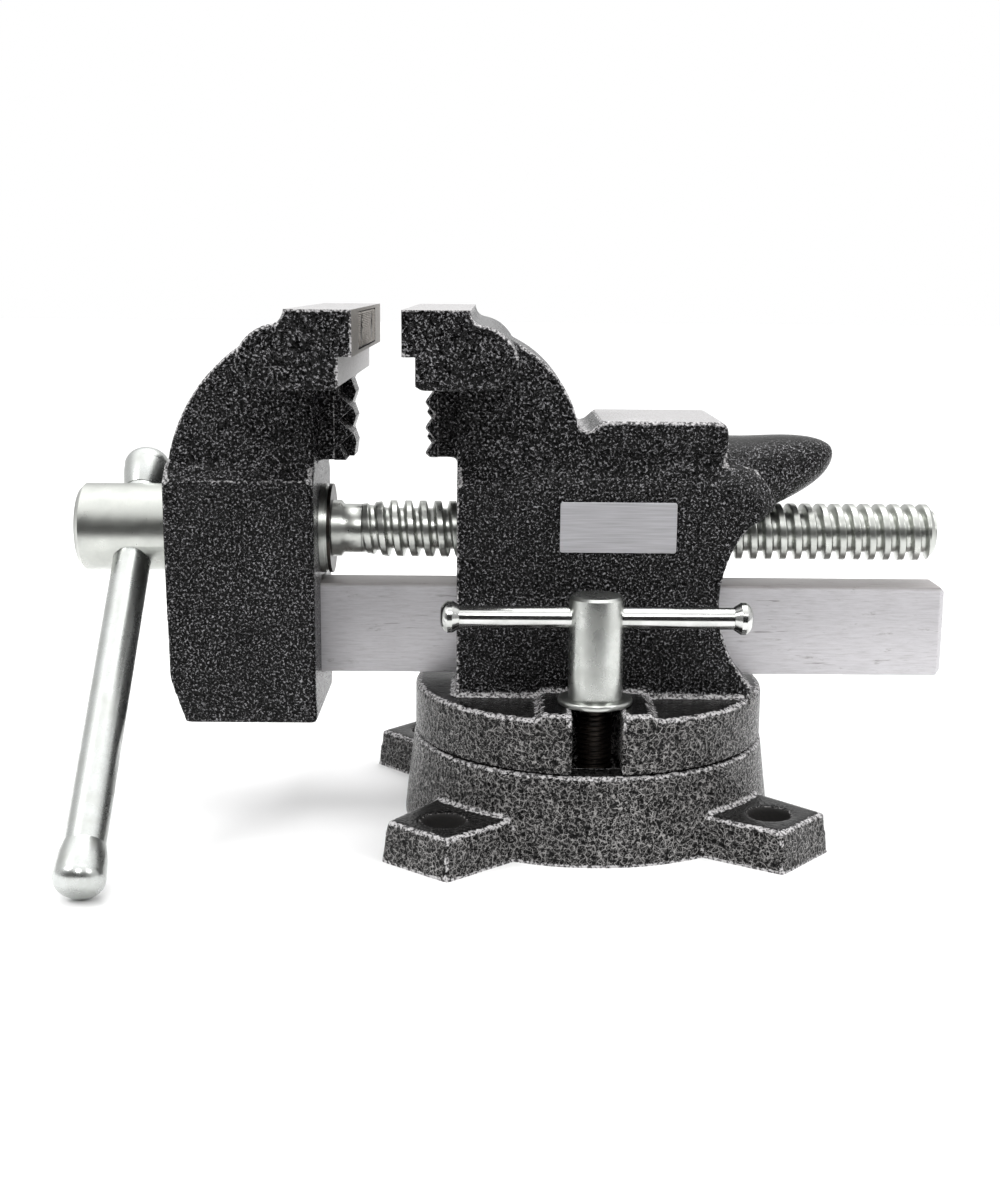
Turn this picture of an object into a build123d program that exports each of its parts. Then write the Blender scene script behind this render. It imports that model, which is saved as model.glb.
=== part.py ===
"""Bench vise on a swivel base: cast jaws, a square slide bar, a main screw with its handle,
and a lock bolt that clamps the swivel disc to the base.

Millimetres. +Z is up and +X runs along the screw, from the handle to the horn. The origin is
on the bench, on the axis that the vise swivels about.
"""

import os
from math import cos, radians, sin

from build123d import *

os.makedirs("parts", exist_ok=True)

# ---------------------------------------------------------------- driving dimensions
# Fits. A running fit turns or slides, a seat is a fit that stays put, a gap is open air.
running_fit = 0.06
slide_fit = 0.10
seat_fit = 0.01
gap = 0.3

# Swivel base
base_height = 27.4
base_top_radius = 57.4
base_draft = 7.0
lug_height = 12.9
lug_reach = 83.3
lug_half_width = 12.4
lug_flare = 10.5
lug_turn = 4.6
lug_count = 4
bench_bolt_circle = 142.1
bench_bolt_hole = 13.0
lug_edge_round = 1.2

# Swivel disc and its lock bolt
disc_radius = 57.1
disc_height = 16.8
disc_edge_round = 1.6
pad_width = 33.0
pad_height = 1.7
lock_standoff = 13.5
lock_stud_diameter = 11.0
lock_slot_width = 15.0
tee_head_side = 20.0
tee_head_height = 7.7
tee_floor = 8.0
lock_washer_diameter = 23.0
lock_washer_thickness = 2.0
lock_head_diameter = 16.8
lock_head_height = 31.8
lock_head_bevel = 0.8
lock_bar_diameter = 6.8
lock_bar_drop = 6.9
lock_bar_length = 95.4
lock_knob_diameter = 9.9
lock_knob_length = 5.8

# Pivot under the disc
pivot_diameter = 12.0
pivot_head_width = 19.0
pivot_head_height = 7.5
pivot_washer_diameter = 26.0
pivot_washer_thickness = 2.5
pivot_well_depth = 12.0
pivot_cap = 2.5

# Slide bar and main screw
bar_width = 15.0
bar_height = 29.5
bar_lift = 3.0
bar_tail = 115.6
bar_tail_bevel = 1.8
bar_socket_wall = 7.0
bar_pin_diameter = 6.0
screw_diameter = 18.4
screw_root_diameter = 13.4
screw_neck_diameter = 16.0
screw_pitch = 4.8
screw_tail = 112.0
thread_crest = 1.9
thread_start = 16.5
boss_diameter = 28.3
boss_length = 31.2
boss_bevel = 1.6
collar_length = 3.6
thrust_washer_diameter = 29.0
thrust_washer_thickness = 1.6
spring_washer_diameter = 27.5
spring_washer_thickness = 0.9
keeper_diameter = 29.0
keeper_thickness = 1.1
nut_wall = 4.8
nut_length = 44.0
nut_recess = 3.0
nut_web = 2.9
nut_screw_diameter = 8.0
nut_screw_bite = 3.0

# Handle of the main screw
handle_diameter = 12.0
handle_length = 129.0
handle_lean = 45.9
handle_drop = 0.6
handle_knob_diameter = 15.0
handle_knob_length = 15.4

# Jaws, as distances from the gripping faces
jaw_width = 115.0
jaw_gap = 14.2
face_ahead_of_swivel = 58.2
head_height = 22.9
face_height = 13.3
lip_depth = 3.9
head_top_length = 19.5
head_length = 33.7
head_end_radius = 8.8
head_shoulder_drop = 3.9
throat_depth = 15.1
neck_height = 25.4
neck_half_width = 22.5
block_half_width = 27.0
block_roof = 9.1
crease = 5.2
front_block_length = 46.8
front_block_foot = 13.0
front_block_toe = 5.0
front_skirt_rise = 15.5
front_skirt_draft = 2.0
plate_width = 66.0
plate_height = 10.6
plate_thickness = 6.0
plate_groove = 0.35
plate_screw_spacing = 40.0
plate_screw_diameter = 5.0
plate_screw_head = 9.0
plate_screw_length = 16.0

# Pipe jaws under the gripping faces
pipe_half_width = 13.0
pipe_tooth_pitch = 8.0
pipe_tooth_count = 3
front_pipe_height = 24.8
front_pipe_valley = 6.9
front_pipe_tooth = 4.4
front_pipe_far_tooth = 1.4
front_pipe_first = 8.2
rear_pipe_height = 23.8
rear_pipe_valley = 7.4
rear_pipe_tooth = 3.0
rear_pipe_first = 6.4

# Rear body: anvil, horn and waist
body_tail = 42.0
body_nose_reach = 14.9
waist_depth = 17.5
foot_reach = 50.5
deck_height = 11.3
anvil_start = 1.7
anvil_length = 39.2
anvil_half_width = 24.5
anvil_rise = 3.1
anvil_skirt = 9.4
anvil_round = 3.2
horn_length = 37.0
horn_top_drop = 2.9
horn_root_half_width = 20.0
horn_depth = 25.9
horn_tip_drop = 4.5
name_plate_length = 36.2
name_plate_height = 15.8
name_plate_thickness = 0.6
name_plate_start = -11.0
name_plate_rise = 4.9

# ---------------------------------------------------------------- places worked out from them
lock_radius = block_half_width + lock_standoff

# Heights
disc_bottom = base_height + gap
disc_top = disc_bottom + disc_height
bar_bottom = disc_top + bar_lift
bar_top = bar_bottom + bar_height
nut_diameter = screw_diameter + 2 * nut_wall
screw_z = bar_top + nut_web + nut_diameter / 2
block_top = screw_z + nut_diameter / 2 + block_roof
head_bottom = block_top + neck_height
jaw_top = head_bottom + head_height
lip_z = jaw_top - face_height
deck_z = block_top + deck_height
anvil_top = deck_z + anvil_rise
horn_top = deck_z - horn_top_drop
pad_top = disc_top + pad_height
lock_base_z = pad_top + lock_washer_thickness
lock_bar_z = lock_base_z + lock_head_height - lock_bar_drop
ledge_z = tee_floor + tee_head_height + 2 * gap

# Lengths along the screw
rear_face_x = -face_ahead_of_swivel
front_face_x = rear_face_x - jaw_gap
body_front_x = rear_face_x + throat_depth
front_back_x = front_face_x - throat_depth
front_block_x = front_back_x - front_block_length
boss_inner_x = front_block_x - gap
boss_outer_x = boss_inner_x - boss_length
handle_x = boss_outer_x + 0.57 * boss_length
thrust_x = front_back_x + running_fit
spring_x = thrust_x + thrust_washer_thickness
keeper_x = spring_x + spring_washer_thickness
collar_x = keeper_x + keeper_thickness
thread_x = front_back_x + thread_start
bar_nose_x = front_block_x + bar_socket_wall
nut_start_x = body_front_x + nut_recess
nut_end_x = nut_start_x + nut_length
anvil_end = anvil_start + anvil_length
body_nose_x = body_tail + body_nose_reach
horn_tip_x = anvil_end + horn_length
screw_axis = Axis((0, 0, screw_z), (1, 0, 0))


def straight_cut(width, height, start, end, z_middle):
    """A block along X, centred on Y, for cutting a channel."""
    with BuildPart() as block:
        with BuildSketch(Plane.YZ.offset(start)):
            with Locations((0, z_middle)):
                Rectangle(width, height)
        extrude(amount=end - start)
    return block.part


def x_rod(diameter, start, end, y, z):
    """A plain round bar along X."""
    with BuildPart() as rod:
        with BuildSketch(Plane.YZ.offset(start)):
            with Locations((y, z)):
                Circle(diameter / 2)
        extrude(amount=end - start)
    return rod.part


def head_outline(face_x, away):
    """Side view of a jaw head; away is +1 towards the horn and -1 towards the handle."""
    centre = face_x + away * (head_length - head_end_radius)
    end = face_x + away * head_length
    shoulder = face_x + away * (head_top_length + 2)
    with BuildSketch(Plane.XZ) as outline:
        with BuildLine():
            Polyline(
                (centre, head_bottom),
                (face_x + away * (lip_depth + 1.5), head_bottom),
                (face_x + away * lip_depth, head_bottom + 1.5),
                (face_x + away * lip_depth, lip_z),
                (face_x, lip_z),
                (face_x, jaw_top),
                (face_x + away * head_top_length, jaw_top),
                (face_x + away * (head_top_length + 0.6), jaw_top - 0.6 * head_shoulder_drop),
                (shoulder, jaw_top - head_shoulder_drop),
            )
            ThreePointArc(
                (shoulder, jaw_top - head_shoulder_drop),
                (end - away * 3.5, head_bottom + head_end_radius + 6.4),
                (end, head_bottom + head_end_radius),
            )
            RadiusArc(
                (end, head_bottom + head_end_radius),
                (centre, head_bottom),
                away * head_end_radius,
            )
        make_face()
    return outline.sketch


def pipe_jaw_outline(wall_x, peak_x, away, depth, height, first_peak):
    """Side view of a row of teeth standing out of wall_x; first_peak is below the jaw head."""
    bottom = head_bottom - height
    valley_x = peak_x + away * depth
    points = [(wall_x + away * 1.0, bottom)]
    points.append((valley_x - away * depth / 2, bottom))
    for index in reversed(range(pipe_tooth_count)):
        peak = head_bottom - first_peak - index * pipe_tooth_pitch
        if peak > bottom + 1.0:
            points.append((valley_x - away * depth, peak))
        points.append((valley_x, peak + pipe_tooth_pitch / 2))
    points.append((valley_x, head_bottom + 1.0))
    points.append((wall_x + away * 1.0, head_bottom + 1.0))
    with BuildSketch(Plane.XZ) as outline:
        with BuildLine():
            Polyline(*points, close=True)
        make_face()
    return outline.sketch


def plate_pocket(face_x, away):
    """The recess that a jaw plate drops into, with its groove all round."""
    depth = away * plate_thickness
    with BuildPart() as pocket:
        with BuildSketch(Plane.YZ.offset(face_x)):
            with Locations((0, (lip_z + jaw_top) / 2)):
                Rectangle(plate_width + 2 * plate_groove, plate_height + 2 * plate_groove)
        extrude(amount=depth)
    return pocket.part


def plate_screw_holes(face_x, away):
    """Clearance for the two screws behind a jaw plate."""
    with BuildPart() as holes:
        with BuildSketch(Plane.YZ.offset(face_x)):
            with Locations((0, (lip_z + jaw_top) / 2)):
                with GridLocations(plate_screw_spacing, 0, 2, 1):
                    Circle(plate_screw_diameter / 2 + seat_fit)
        extrude(amount=away * (plate_screw_length + gap))
    return holes.part


def jaw_plate(face_x, away):
    """Hardened gripping plate with two countersunk screw holes."""
    middle = (lip_z + jaw_top) / 2
    with BuildPart() as plate:
        with BuildSketch(Plane.YZ.offset(face_x)):
            with Locations((0, middle)):
                Rectangle(plate_width, plate_height)
        extrude(amount=away * (plate_thickness - seat_fit))
        with BuildSketch(Plane.YZ.offset(face_x)):
            with Locations((0, middle)):
                with GridLocations(plate_screw_spacing, 0, 2, 1):
                    Circle(plate_screw_diameter / 2 + seat_fit)
        extrude(amount=away * plate_thickness, mode=Mode.SUBTRACT)
        with BuildSketch(Plane.YZ.offset(face_x)):
            with Locations((0, middle)):
                with GridLocations(plate_screw_spacing, 0, 2, 1):
                    Circle(plate_screw_head / 2 + seat_fit)
        extrude(amount=away * 3.0, mode=Mode.SUBTRACT)
    return plate.part


def plate_screws(face_x, away):
    """The two slotted screws that hold a jaw plate, heads just below its face."""
    middle = (lip_z + jaw_top) / 2
    head_x = face_x + away * 0.4
    with BuildPart() as screws:
        with BuildSketch(Plane.YZ.offset(head_x)):
            with Locations((0, middle)):
                with GridLocations(plate_screw_spacing, 0, 2, 1):
                    Circle(plate_screw_head / 2)
        extrude(amount=away * 2.6)
        with BuildSketch(Plane.YZ.offset(head_x)):
            with Locations((0, middle)):
                with GridLocations(plate_screw_spacing, 0, 2, 1):
                    Circle(plate_screw_diameter / 2)
        extrude(amount=away * (plate_screw_length - 0.4))
        with BuildSketch(Plane.YZ.offset(head_x)):
            with Locations((0, middle)):
                with GridLocations(plate_screw_spacing, 0, 2, 1):
                    Rectangle(plate_screw_head, 1.4, rotation=35)
        extrude(amount=away * 1.2, mode=Mode.SUBTRACT)
    return screws.part


# ---------------------------------------------------------------- swivel base
# A drafted drum with four flared lugs. The lock bolt's square head runs in a ring-shaped
# tee slot, and the pivot bolt's head sits in a well underneath.
lug_angles = [lug_turn + 45 + index * 360 / lug_count for index in range(lug_count)]
lug_points = [
    (0, -lug_half_width - lug_flare),
    (lug_reach, -lug_half_width),
    (lug_reach, lug_half_width),
    (0, lug_half_width + lug_flare),
]
with BuildPart() as base:
    with BuildSketch(Plane.XY.offset(base_height)):
        Circle(base_top_radius)
    extrude(amount=-base_height, taper=-base_draft)
    for angle in lug_angles:
        with BuildSketch(Plane.XY.offset(lug_height).rotated((0, 0, angle))):
            with BuildLine():
                Polyline(*lug_points, close=True)
            make_face()
        extrude(amount=-lug_height, taper=-base_draft)
    lug_tops = base.faces().filter_by(Plane.XY).filter_by(
        lambda face: abs(face.center().Z - lug_height) < 0.01
    )
    fillet(lug_tops.edges().filter_by(GeomType.LINE), lug_edge_round)
    with BuildSketch(Plane.XY):
        with PolarLocations(bench_bolt_circle / 2, lug_count, start_angle=lug_angles[0]):
            Circle(bench_bolt_hole / 2)
    extrude(amount=lug_height + 1, mode=Mode.SUBTRACT)
    # ring slot for the stud, over the wider tee slot for its head
    slot_half = lock_stud_diameter / 2 + 0.5
    head_half = tee_head_side / 2 + 1.0
    with BuildSketch(Plane.XY.offset(ledge_z)):
        Circle(lock_radius + slot_half)
        Circle(lock_radius - slot_half, mode=Mode.SUBTRACT)
    extrude(amount=base_height, mode=Mode.SUBTRACT)
    with BuildSketch(Plane.XY.offset(tee_floor)):
        Circle(lock_radius + head_half + 1.0)
        Circle(lock_radius - head_half - 1.0, mode=Mode.SUBTRACT)
    extrude(amount=ledge_z - tee_floor, mode=Mode.SUBTRACT)
    # opening from below, through which the lock bolt is put in
    with BuildSketch(Plane.XY):
        with Locations((0, lock_radius)):
            Rectangle(tee_head_side + 2, tee_head_side + 2)
    extrude(amount=tee_floor + 1, mode=Mode.SUBTRACT)
    Cylinder(
        pivot_diameter / 2 + running_fit,
        base_height,
        align=(Align.CENTER, Align.CENTER, Align.MIN),
        mode=Mode.SUBTRACT,
    )
    Cylinder(
        pivot_washer_diameter / 2 + 1,
        pivot_well_depth,
        align=(Align.CENTER, Align.CENTER, Align.MIN),
        mode=Mode.SUBTRACT,
    )
base.part.label = "base"
export_step(base.part, "parts/base.step")

# ---------------------------------------------------------------- rear casting
# Swivel disc, body, fixed jaw, anvil and horn are one casting.
with BuildSketch(Plane.XZ) as body_outline:
    waist_x = body_nose_x - waist_depth
    tip_z = block_top - 12.5
    with BuildLine():
        Polyline(
            (foot_reach, disc_top - 2),
            (body_front_x, disc_top - 2),
            (body_front_x, block_top),
            (body_tail, block_top),
        )
        ThreePointArc(
            (body_tail, block_top),
            (body_nose_x - 3.5, block_top - 4.5),
            (body_nose_x, tip_z),
        )
        Line((body_nose_x, tip_z), (body_nose_x - 9.5, tip_z - 6.0))
        ThreePointArc(
            (body_nose_x - 9.5, tip_z - 6.0),
            (waist_x, (tip_z + disc_top) / 2),
            (foot_reach, disc_top + 3.5),
        )
        Line((foot_reach, disc_top + 3.5), (foot_reach, disc_top - 2))
    make_face()

with BuildSketch(Plane.XZ) as neck_outline:
    head_centre_x = rear_face_x + head_length - head_end_radius
    valley_x = anvil_start - 7.0
    with BuildLine():
        Polyline(
            (valley_x, deck_z),
            (anvil_end - 1, deck_z),
            (anvil_end - 1, block_top - crease),
            (body_front_x, block_top - crease),
            (body_front_x, head_bottom + 2),
            (head_centre_x - 5, jaw_top - head_shoulder_drop - 2),
            (head_centre_x + 2, jaw_top - head_shoulder_drop - 4),
        )
        ThreePointArc(
            (head_centre_x + 2, jaw_top - head_shoulder_drop - 4),
            (head_centre_x + 20.1, head_bottom + 3.4),
            (valley_x, deck_z),
        )
    make_face()

with BuildSketch(Plane.XZ) as anvil_outline:
    with BuildLine():
        Polyline(
            (anvil_start - 4.5, deck_z - 1),
            (anvil_start, anvil_top),
            (anvil_end - anvil_round, anvil_top),
        )
        RadiusArc(
            (anvil_end - anvil_round, anvil_top),
            (anvil_end, anvil_top - anvil_round),
            anvil_round,
        )
        Polyline(
            (anvil_end, anvil_top - anvil_round),
            (anvil_end, anvil_top - anvil_skirt),
            (anvil_start - 4.5, anvil_top - anvil_skirt),
            (anvil_start - 4.5, deck_z - 1),
        )
    make_face()

rear_head = head_outline(rear_face_x, 1)
rear_peak_x = body_front_x - rear_pipe_valley - rear_pipe_tooth
rear_rows = [
    pipe_jaw_outline(
        body_front_x, rear_peak_x, 1, rear_pipe_tooth, rear_pipe_height, rear_pipe_first + shift
    )
    for shift in (0, pipe_tooth_pitch / 2)
]
rear_pocket = plate_pocket(rear_face_x, 1)
rear_screw_holes = plate_screw_holes(rear_face_x, 1)
bar_channel = straight_cut(
    bar_width + 2 * slide_fit,
    bar_height + 2 * slide_fit,
    body_front_x - 5,
    body_nose_x + 20,
    (bar_bottom + bar_top) / 2,
)
nut_bore = x_rod(nut_diameter + 2 * seat_fit, body_front_x - 5, nut_end_x, 0, screw_z)
screw_tunnel = x_rod(screw_diameter + 2.0, nut_end_x - 1, horn_tip_x + 20, 0, screw_z)

with BuildPart() as fixed_jaw_body:
    with BuildSketch(Plane.XY.offset(disc_bottom)):
        Circle(disc_radius)
    extrude(amount=disc_height)
    fillet(fixed_jaw_body.faces().sort_by(Axis.Z)[-1].edges(), disc_edge_round)
    with BuildSketch(Plane.XY.offset(disc_top - 3)) as lock_pad:
        with Locations((0, -disc_radius / 2)):
            Rectangle(pad_width, disc_radius)
        Circle(disc_radius - 0.8, mode=Mode.INTERSECT)
    extrude(amount=3 + pad_height)
    extrude(to_extrude=body_outline.sketch, amount=block_half_width, both=True)
    crest_edges = fixed_jaw_body.edges().filter_by(
        lambda edge: abs(abs(edge.center().Y) - block_half_width) < 0.01
        and edge.center().Z > block_top - 9
        and edge.center().X > body_front_x + 1
    )
    chamfer(crest_edges, crease)
    extrude(to_extrude=neck_outline.sketch, amount=neck_half_width, both=True)
    extrude(to_extrude=anvil_outline.sketch, amount=anvil_half_width, both=True)
    # horn: ellipses that shrink towards the tip, level along the top
    for share, half_width, depth in (
        (-0.06, 1.0, 1.0),
        (0.40, 0.80, 0.93),
        (0.70, 0.58, 0.72),
        (0.92, 0.33, 0.41),
        (1.0, 0.08, 0.08),
    ):
        lowering = horn_tip_drop * max(0.0, (share - 0.7) / 0.3) ** 3
        half_depth = depth * horn_depth / 2
        with BuildSketch(Plane.YZ.offset(anvil_end + share * horn_length)):
            with Locations((0, horn_top - lowering - half_depth)):
                Ellipse(half_width * horn_root_half_width, half_depth)
    loft()
    extrude(to_extrude=rear_head, amount=jaw_width / 2, both=True)
    # two staggered rows of pipe teeth, the near row and the far row
    extrude(to_extrude=rear_rows[0], amount=pipe_half_width)
    extrude(to_extrude=rear_rows[1], amount=-pipe_half_width)
    # openings for the plate, the slide bar, the nut and the screw
    add(rear_pocket, mode=Mode.SUBTRACT)
    add(rear_screw_holes, mode=Mode.SUBTRACT)
    add(bar_channel, mode=Mode.SUBTRACT)
    add(nut_bore, mode=Mode.SUBTRACT)
    add(screw_tunnel, mode=Mode.SUBTRACT)
    # hole for the nut's set screw, from the far side
    with BuildSketch(Plane.XZ.offset(-block_half_width - 1)):
        with Locations(((nut_start_x + nut_end_x) / 2, screw_z)):
            Circle(nut_screw_diameter / 2 + seat_fit)
    extrude(amount=block_half_width - nut_diameter / 4, mode=Mode.SUBTRACT)
    # open slot that the lock stud stands in
    with BuildSketch(Plane.XY.offset(disc_bottom - 1)):
        with Locations((0, -lock_radius)):
            Circle(lock_slot_width / 2)
        with Locations((0, -lock_radius - disc_radius / 2)):
            Rectangle(lock_slot_width, disc_radius)
    extrude(amount=disc_height + pad_height + 2, mode=Mode.SUBTRACT)
    # threaded hole for the pivot bolt
    with BuildSketch(Plane.XY.offset(disc_bottom)):
        Circle(pivot_diameter / 2 + seat_fit)
    extrude(amount=disc_height - pivot_cap + gap, mode=Mode.SUBTRACT)
fixed_jaw_body.part.label = "fixed_jaw_body"
export_step(fixed_jaw_body.part, "parts/fixed_jaw_body.step")

with BuildPart() as main_nut:
    add(x_rod(nut_diameter, nut_start_x, nut_end_x - seat_fit, 0, screw_z))
    add(
        x_rod(screw_diameter + 2 * running_fit, nut_start_x - 1, nut_end_x + 1, 0, screw_z),
        mode=Mode.SUBTRACT,
    )
    with BuildSketch(Plane.XZ.offset(-nut_diameter / 2 - 1)):
        with Locations(((nut_start_x + nut_end_x) / 2, screw_z)):
            Circle(nut_screw_diameter / 2 + seat_fit)
    extrude(amount=1 + nut_screw_bite, mode=Mode.SUBTRACT)
main_nut.part.label = "main_nut"
export_step(main_nut.part, "parts/main_nut.step")

with BuildPart() as nut_set_screw:
    with BuildSketch(Plane.XZ.offset(-block_half_width + 1)):
        with Locations(((nut_start_x + nut_end_x) / 2, screw_z)):
            Circle(nut_screw_diameter / 2)
    extrude(amount=block_half_width - 1 - nut_diameter / 2 + nut_screw_bite - gap)
    with BuildSketch(Plane.XZ.offset(-block_half_width + 1)):
        with Locations(((nut_start_x + nut_end_x) / 2, screw_z)):
            RegularPolygon(nut_screw_diameter / 4, 6)
    extrude(amount=4, mode=Mode.SUBTRACT)
nut_set_screw.part.label = "nut_set_screw"
export_step(nut_set_screw.part, "parts/nut_set_screw.step")

with BuildPart() as name_plate:
    with BuildSketch(Plane.XZ.offset(block_half_width + seat_fit)):
        with Locations((name_plate_start + name_plate_length / 2, screw_z + name_plate_rise)):
            RectangleRounded(name_plate_length, name_plate_height, 0.8)
    extrude(amount=name_plate_thickness)
name_plate.part.label = "name_plate"
export_step(name_plate.part, "parts/name_plate.step")

# ---------------------------------------------------------------- front casting
arch_foot_z = block_top - crease + 1
with BuildSketch(Plane.XZ) as front_block_outline:
    with BuildLine():
        Polyline(
            (front_back_x, block_top),
            (front_back_x, bar_bottom - front_block_foot),
            (front_block_x + front_block_toe, bar_bottom - front_block_foot),
            (front_block_x + 0.6, bar_bottom - front_block_foot + front_skirt_rise),
            (front_block_x, screw_z),
            (front_block_x, block_top),
            close=True,
        )
    make_face()

front_centre_x = front_face_x - head_length + head_end_radius
with BuildSketch(Plane.XZ) as arch_outline:
    with BuildLine():
        Polyline(
            (front_block_x + 0.6, arch_foot_z),
            (front_back_x, arch_foot_z),
            (front_back_x, head_bottom + 2),
            (front_centre_x + 5, jaw_top - head_shoulder_drop - 2),
            (front_centre_x - 5, jaw_top - head_shoulder_drop - 3.5),
        )
        ThreePointArc(
            (front_centre_x - 5, jaw_top - head_shoulder_drop - 3.5),
            (front_block_x + 9.4, (arch_foot_z + jaw_top) / 2 - 0.6),
            (front_block_x + 0.6, arch_foot_z),
        )
    make_face()

front_head = head_outline(front_face_x, -1)
front_peak_x = front_back_x + front_pipe_valley + front_pipe_tooth
front_rows = [
    pipe_jaw_outline(
        front_back_x, front_peak_x, -1, depth, front_pipe_height, front_pipe_first + shift
    )
    for depth, shift in ((front_pipe_tooth, 0), (front_pipe_far_tooth, -pipe_tooth_pitch / 2))
]
front_pocket = plate_pocket(front_face_x, -1)
front_screw_holes = plate_screw_holes(front_face_x, -1)
bar_socket = straight_cut(
    bar_width + 2 * seat_fit,
    bar_height + 2 * seat_fit,
    bar_nose_x - seat_fit,
    front_back_x + 5,
    (bar_bottom + bar_top) / 2,
)
screw_bore = x_rod(
    screw_diameter + 2 * running_fit, front_block_x - 5, front_back_x + 5, 0, screw_z
)

with BuildPart() as front_jaw:
    extrude(to_extrude=front_block_outline.sketch, amount=block_half_width, both=True)
    crown_edges = front_jaw.edges().filter_by(Axis.X).filter_by(
        lambda edge: edge.center().Z > block_top - 0.1
    )
    chamfer(crown_edges, crease)
    underside = front_jaw.faces().sort_by(Axis.Z)[0]
    skirt_edges = underside.edges().filter_by(Axis.X)
    chamfer(skirt_edges, front_skirt_draft, front_skirt_rise - 4.0, reference=underside)
    extrude(to_extrude=arch_outline.sketch, amount=neck_half_width, both=True)
    extrude(to_extrude=front_head, amount=jaw_width / 2, both=True)
    extrude(to_extrude=front_rows[0], amount=pipe_half_width)
    extrude(to_extrude=front_rows[1], amount=-pipe_half_width)
    add(front_pocket, mode=Mode.SUBTRACT)
    add(front_screw_holes, mode=Mode.SUBTRACT)
    add(bar_socket, mode=Mode.SUBTRACT)
    add(screw_bore, mode=Mode.SUBTRACT)
    with BuildSketch(Plane.XY.offset(bar_bottom - front_block_foot - 1)):
        with Locations(((front_block_x + front_back_x) / 2, 0)):
            Circle(bar_pin_diameter / 2 + seat_fit)
    extrude(amount=front_block_foot + 2, mode=Mode.SUBTRACT)
front_jaw.part.label = "front_jaw"
export_step(front_jaw.part, "parts/front_jaw.step")

bar_pin_top = bar_bottom + bar_height / 2
with BuildPart() as slide_bar:
    add(straight_cut(bar_width, bar_height, bar_nose_x, bar_tail, (bar_bottom + bar_top) / 2))
    chamfer(slide_bar.faces().sort_by(Axis.X)[-1].edges(), bar_tail_bevel)
    with BuildSketch(Plane.XY.offset(bar_bottom - 1)):
        with Locations(((front_block_x + front_back_x) / 2, 0)):
            Circle(bar_pin_diameter / 2 + seat_fit)
    extrude(amount=bar_pin_top - bar_bottom + 1, mode=Mode.SUBTRACT)
slide_bar.part.label = "slide_bar"
export_step(slide_bar.part, "parts/slide_bar.step")

with BuildPart() as slide_bar_pin:
    with BuildSketch(Plane.XY.offset(bar_bottom - front_block_foot + 0.5)):
        with Locations(((front_block_x + front_back_x) / 2, 0)):
            Circle(bar_pin_diameter / 2)
    extrude(amount=bar_pin_top - gap - bar_bottom + front_block_foot - 0.5)
slide_bar_pin.part.label = "slide_bar_pin"
export_step(slide_bar_pin.part, "parts/slide_bar_pin.step")

# ---------------------------------------------------------------- jaw plates
for side, face_x, away in (("front", front_face_x, -1), ("rear", rear_face_x, 1)):
    plate = jaw_plate(face_x, away)
    plate.label = side + "_jaw_plate"
    export_step(plate, "parts/" + side + "_jaw_plate.step")
    screws = plate_screws(face_x, away)
    screws.label = side + "_plate_screws"
    export_step(screws, "parts/" + side + "_plate_screws.step")

# ---------------------------------------------------------------- main screw
# One turned piece: the boss with the handle hole, the plain shank, the collar and the thread.
# The thread is drawn as rings of its own pitch.
thread_points = []
ring_x = thread_x
flank = (screw_pitch - thread_crest) / 4
while ring_x + screw_pitch < screw_tail:
    thread_points += [
        (ring_x + flank, screw_root_diameter / 2),
        (ring_x + 2 * flank, screw_diameter / 2),
        (ring_x + 2 * flank + thread_crest, screw_diameter / 2),
        (ring_x + 3 * flank + thread_crest, screw_root_diameter / 2),
    ]
    ring_x += screw_pitch
handle_axis_dir = (0, -sin(radians(handle_lean)), -cos(radians(handle_lean)))
handle_plane = Plane(origin=(handle_x, 0, screw_z), x_dir=(1, 0, 0), z_dir=handle_axis_dir)
with BuildPart() as main_screw:
    with BuildSketch(Plane(origin=(0, 0, screw_z), x_dir=(1, 0, 0), z_dir=(0, -1, 0))):
        with BuildLine():
            Polyline(
                (boss_outer_x, 0),
                (boss_outer_x, boss_diameter / 2 - boss_bevel),
                (boss_outer_x + boss_bevel, boss_diameter / 2),
                (boss_inner_x - 0.6, boss_diameter / 2),
                (boss_inner_x, boss_diameter / 2 - 0.6),
                (boss_inner_x, screw_diameter / 2),
                (collar_x + collar_length - 1, screw_diameter / 2),
                (collar_x + collar_length, screw_neck_diameter / 2),
                (thread_x - 2, screw_neck_diameter / 2),
                (thread_x, screw_root_diameter / 2),
                *thread_points,
                (screw_tail, screw_root_diameter / 2),
                (screw_tail, 0),
                close=True,
            )
        make_face()
    revolve(axis=screw_axis)
    with BuildSketch(handle_plane):
        Circle(handle_diameter / 2 + running_fit)
    extrude(amount=boss_diameter, both=True, mode=Mode.SUBTRACT)
main_screw.part.label = "main_screw"
export_step(main_screw.part, "parts/main_screw.step")

for label, start, thickness, diameter in (
    ("thrust_washer", thrust_x, thrust_washer_thickness, thrust_washer_diameter),
    ("spring_washer", spring_x, spring_washer_thickness, spring_washer_diameter),
    ("keeper_ring", keeper_x, keeper_thickness, keeper_diameter),
):
    with BuildPart() as ring:
        with BuildSketch(Plane.YZ.offset(start)):
            with Locations((0, screw_z)):
                Circle(diameter / 2)
                Circle(screw_diameter / 2 + seat_fit, mode=Mode.SUBTRACT)
        extrude(amount=thickness)
    ring.part.label = label
    export_step(ring.part, "parts/" + label + ".step")

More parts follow.
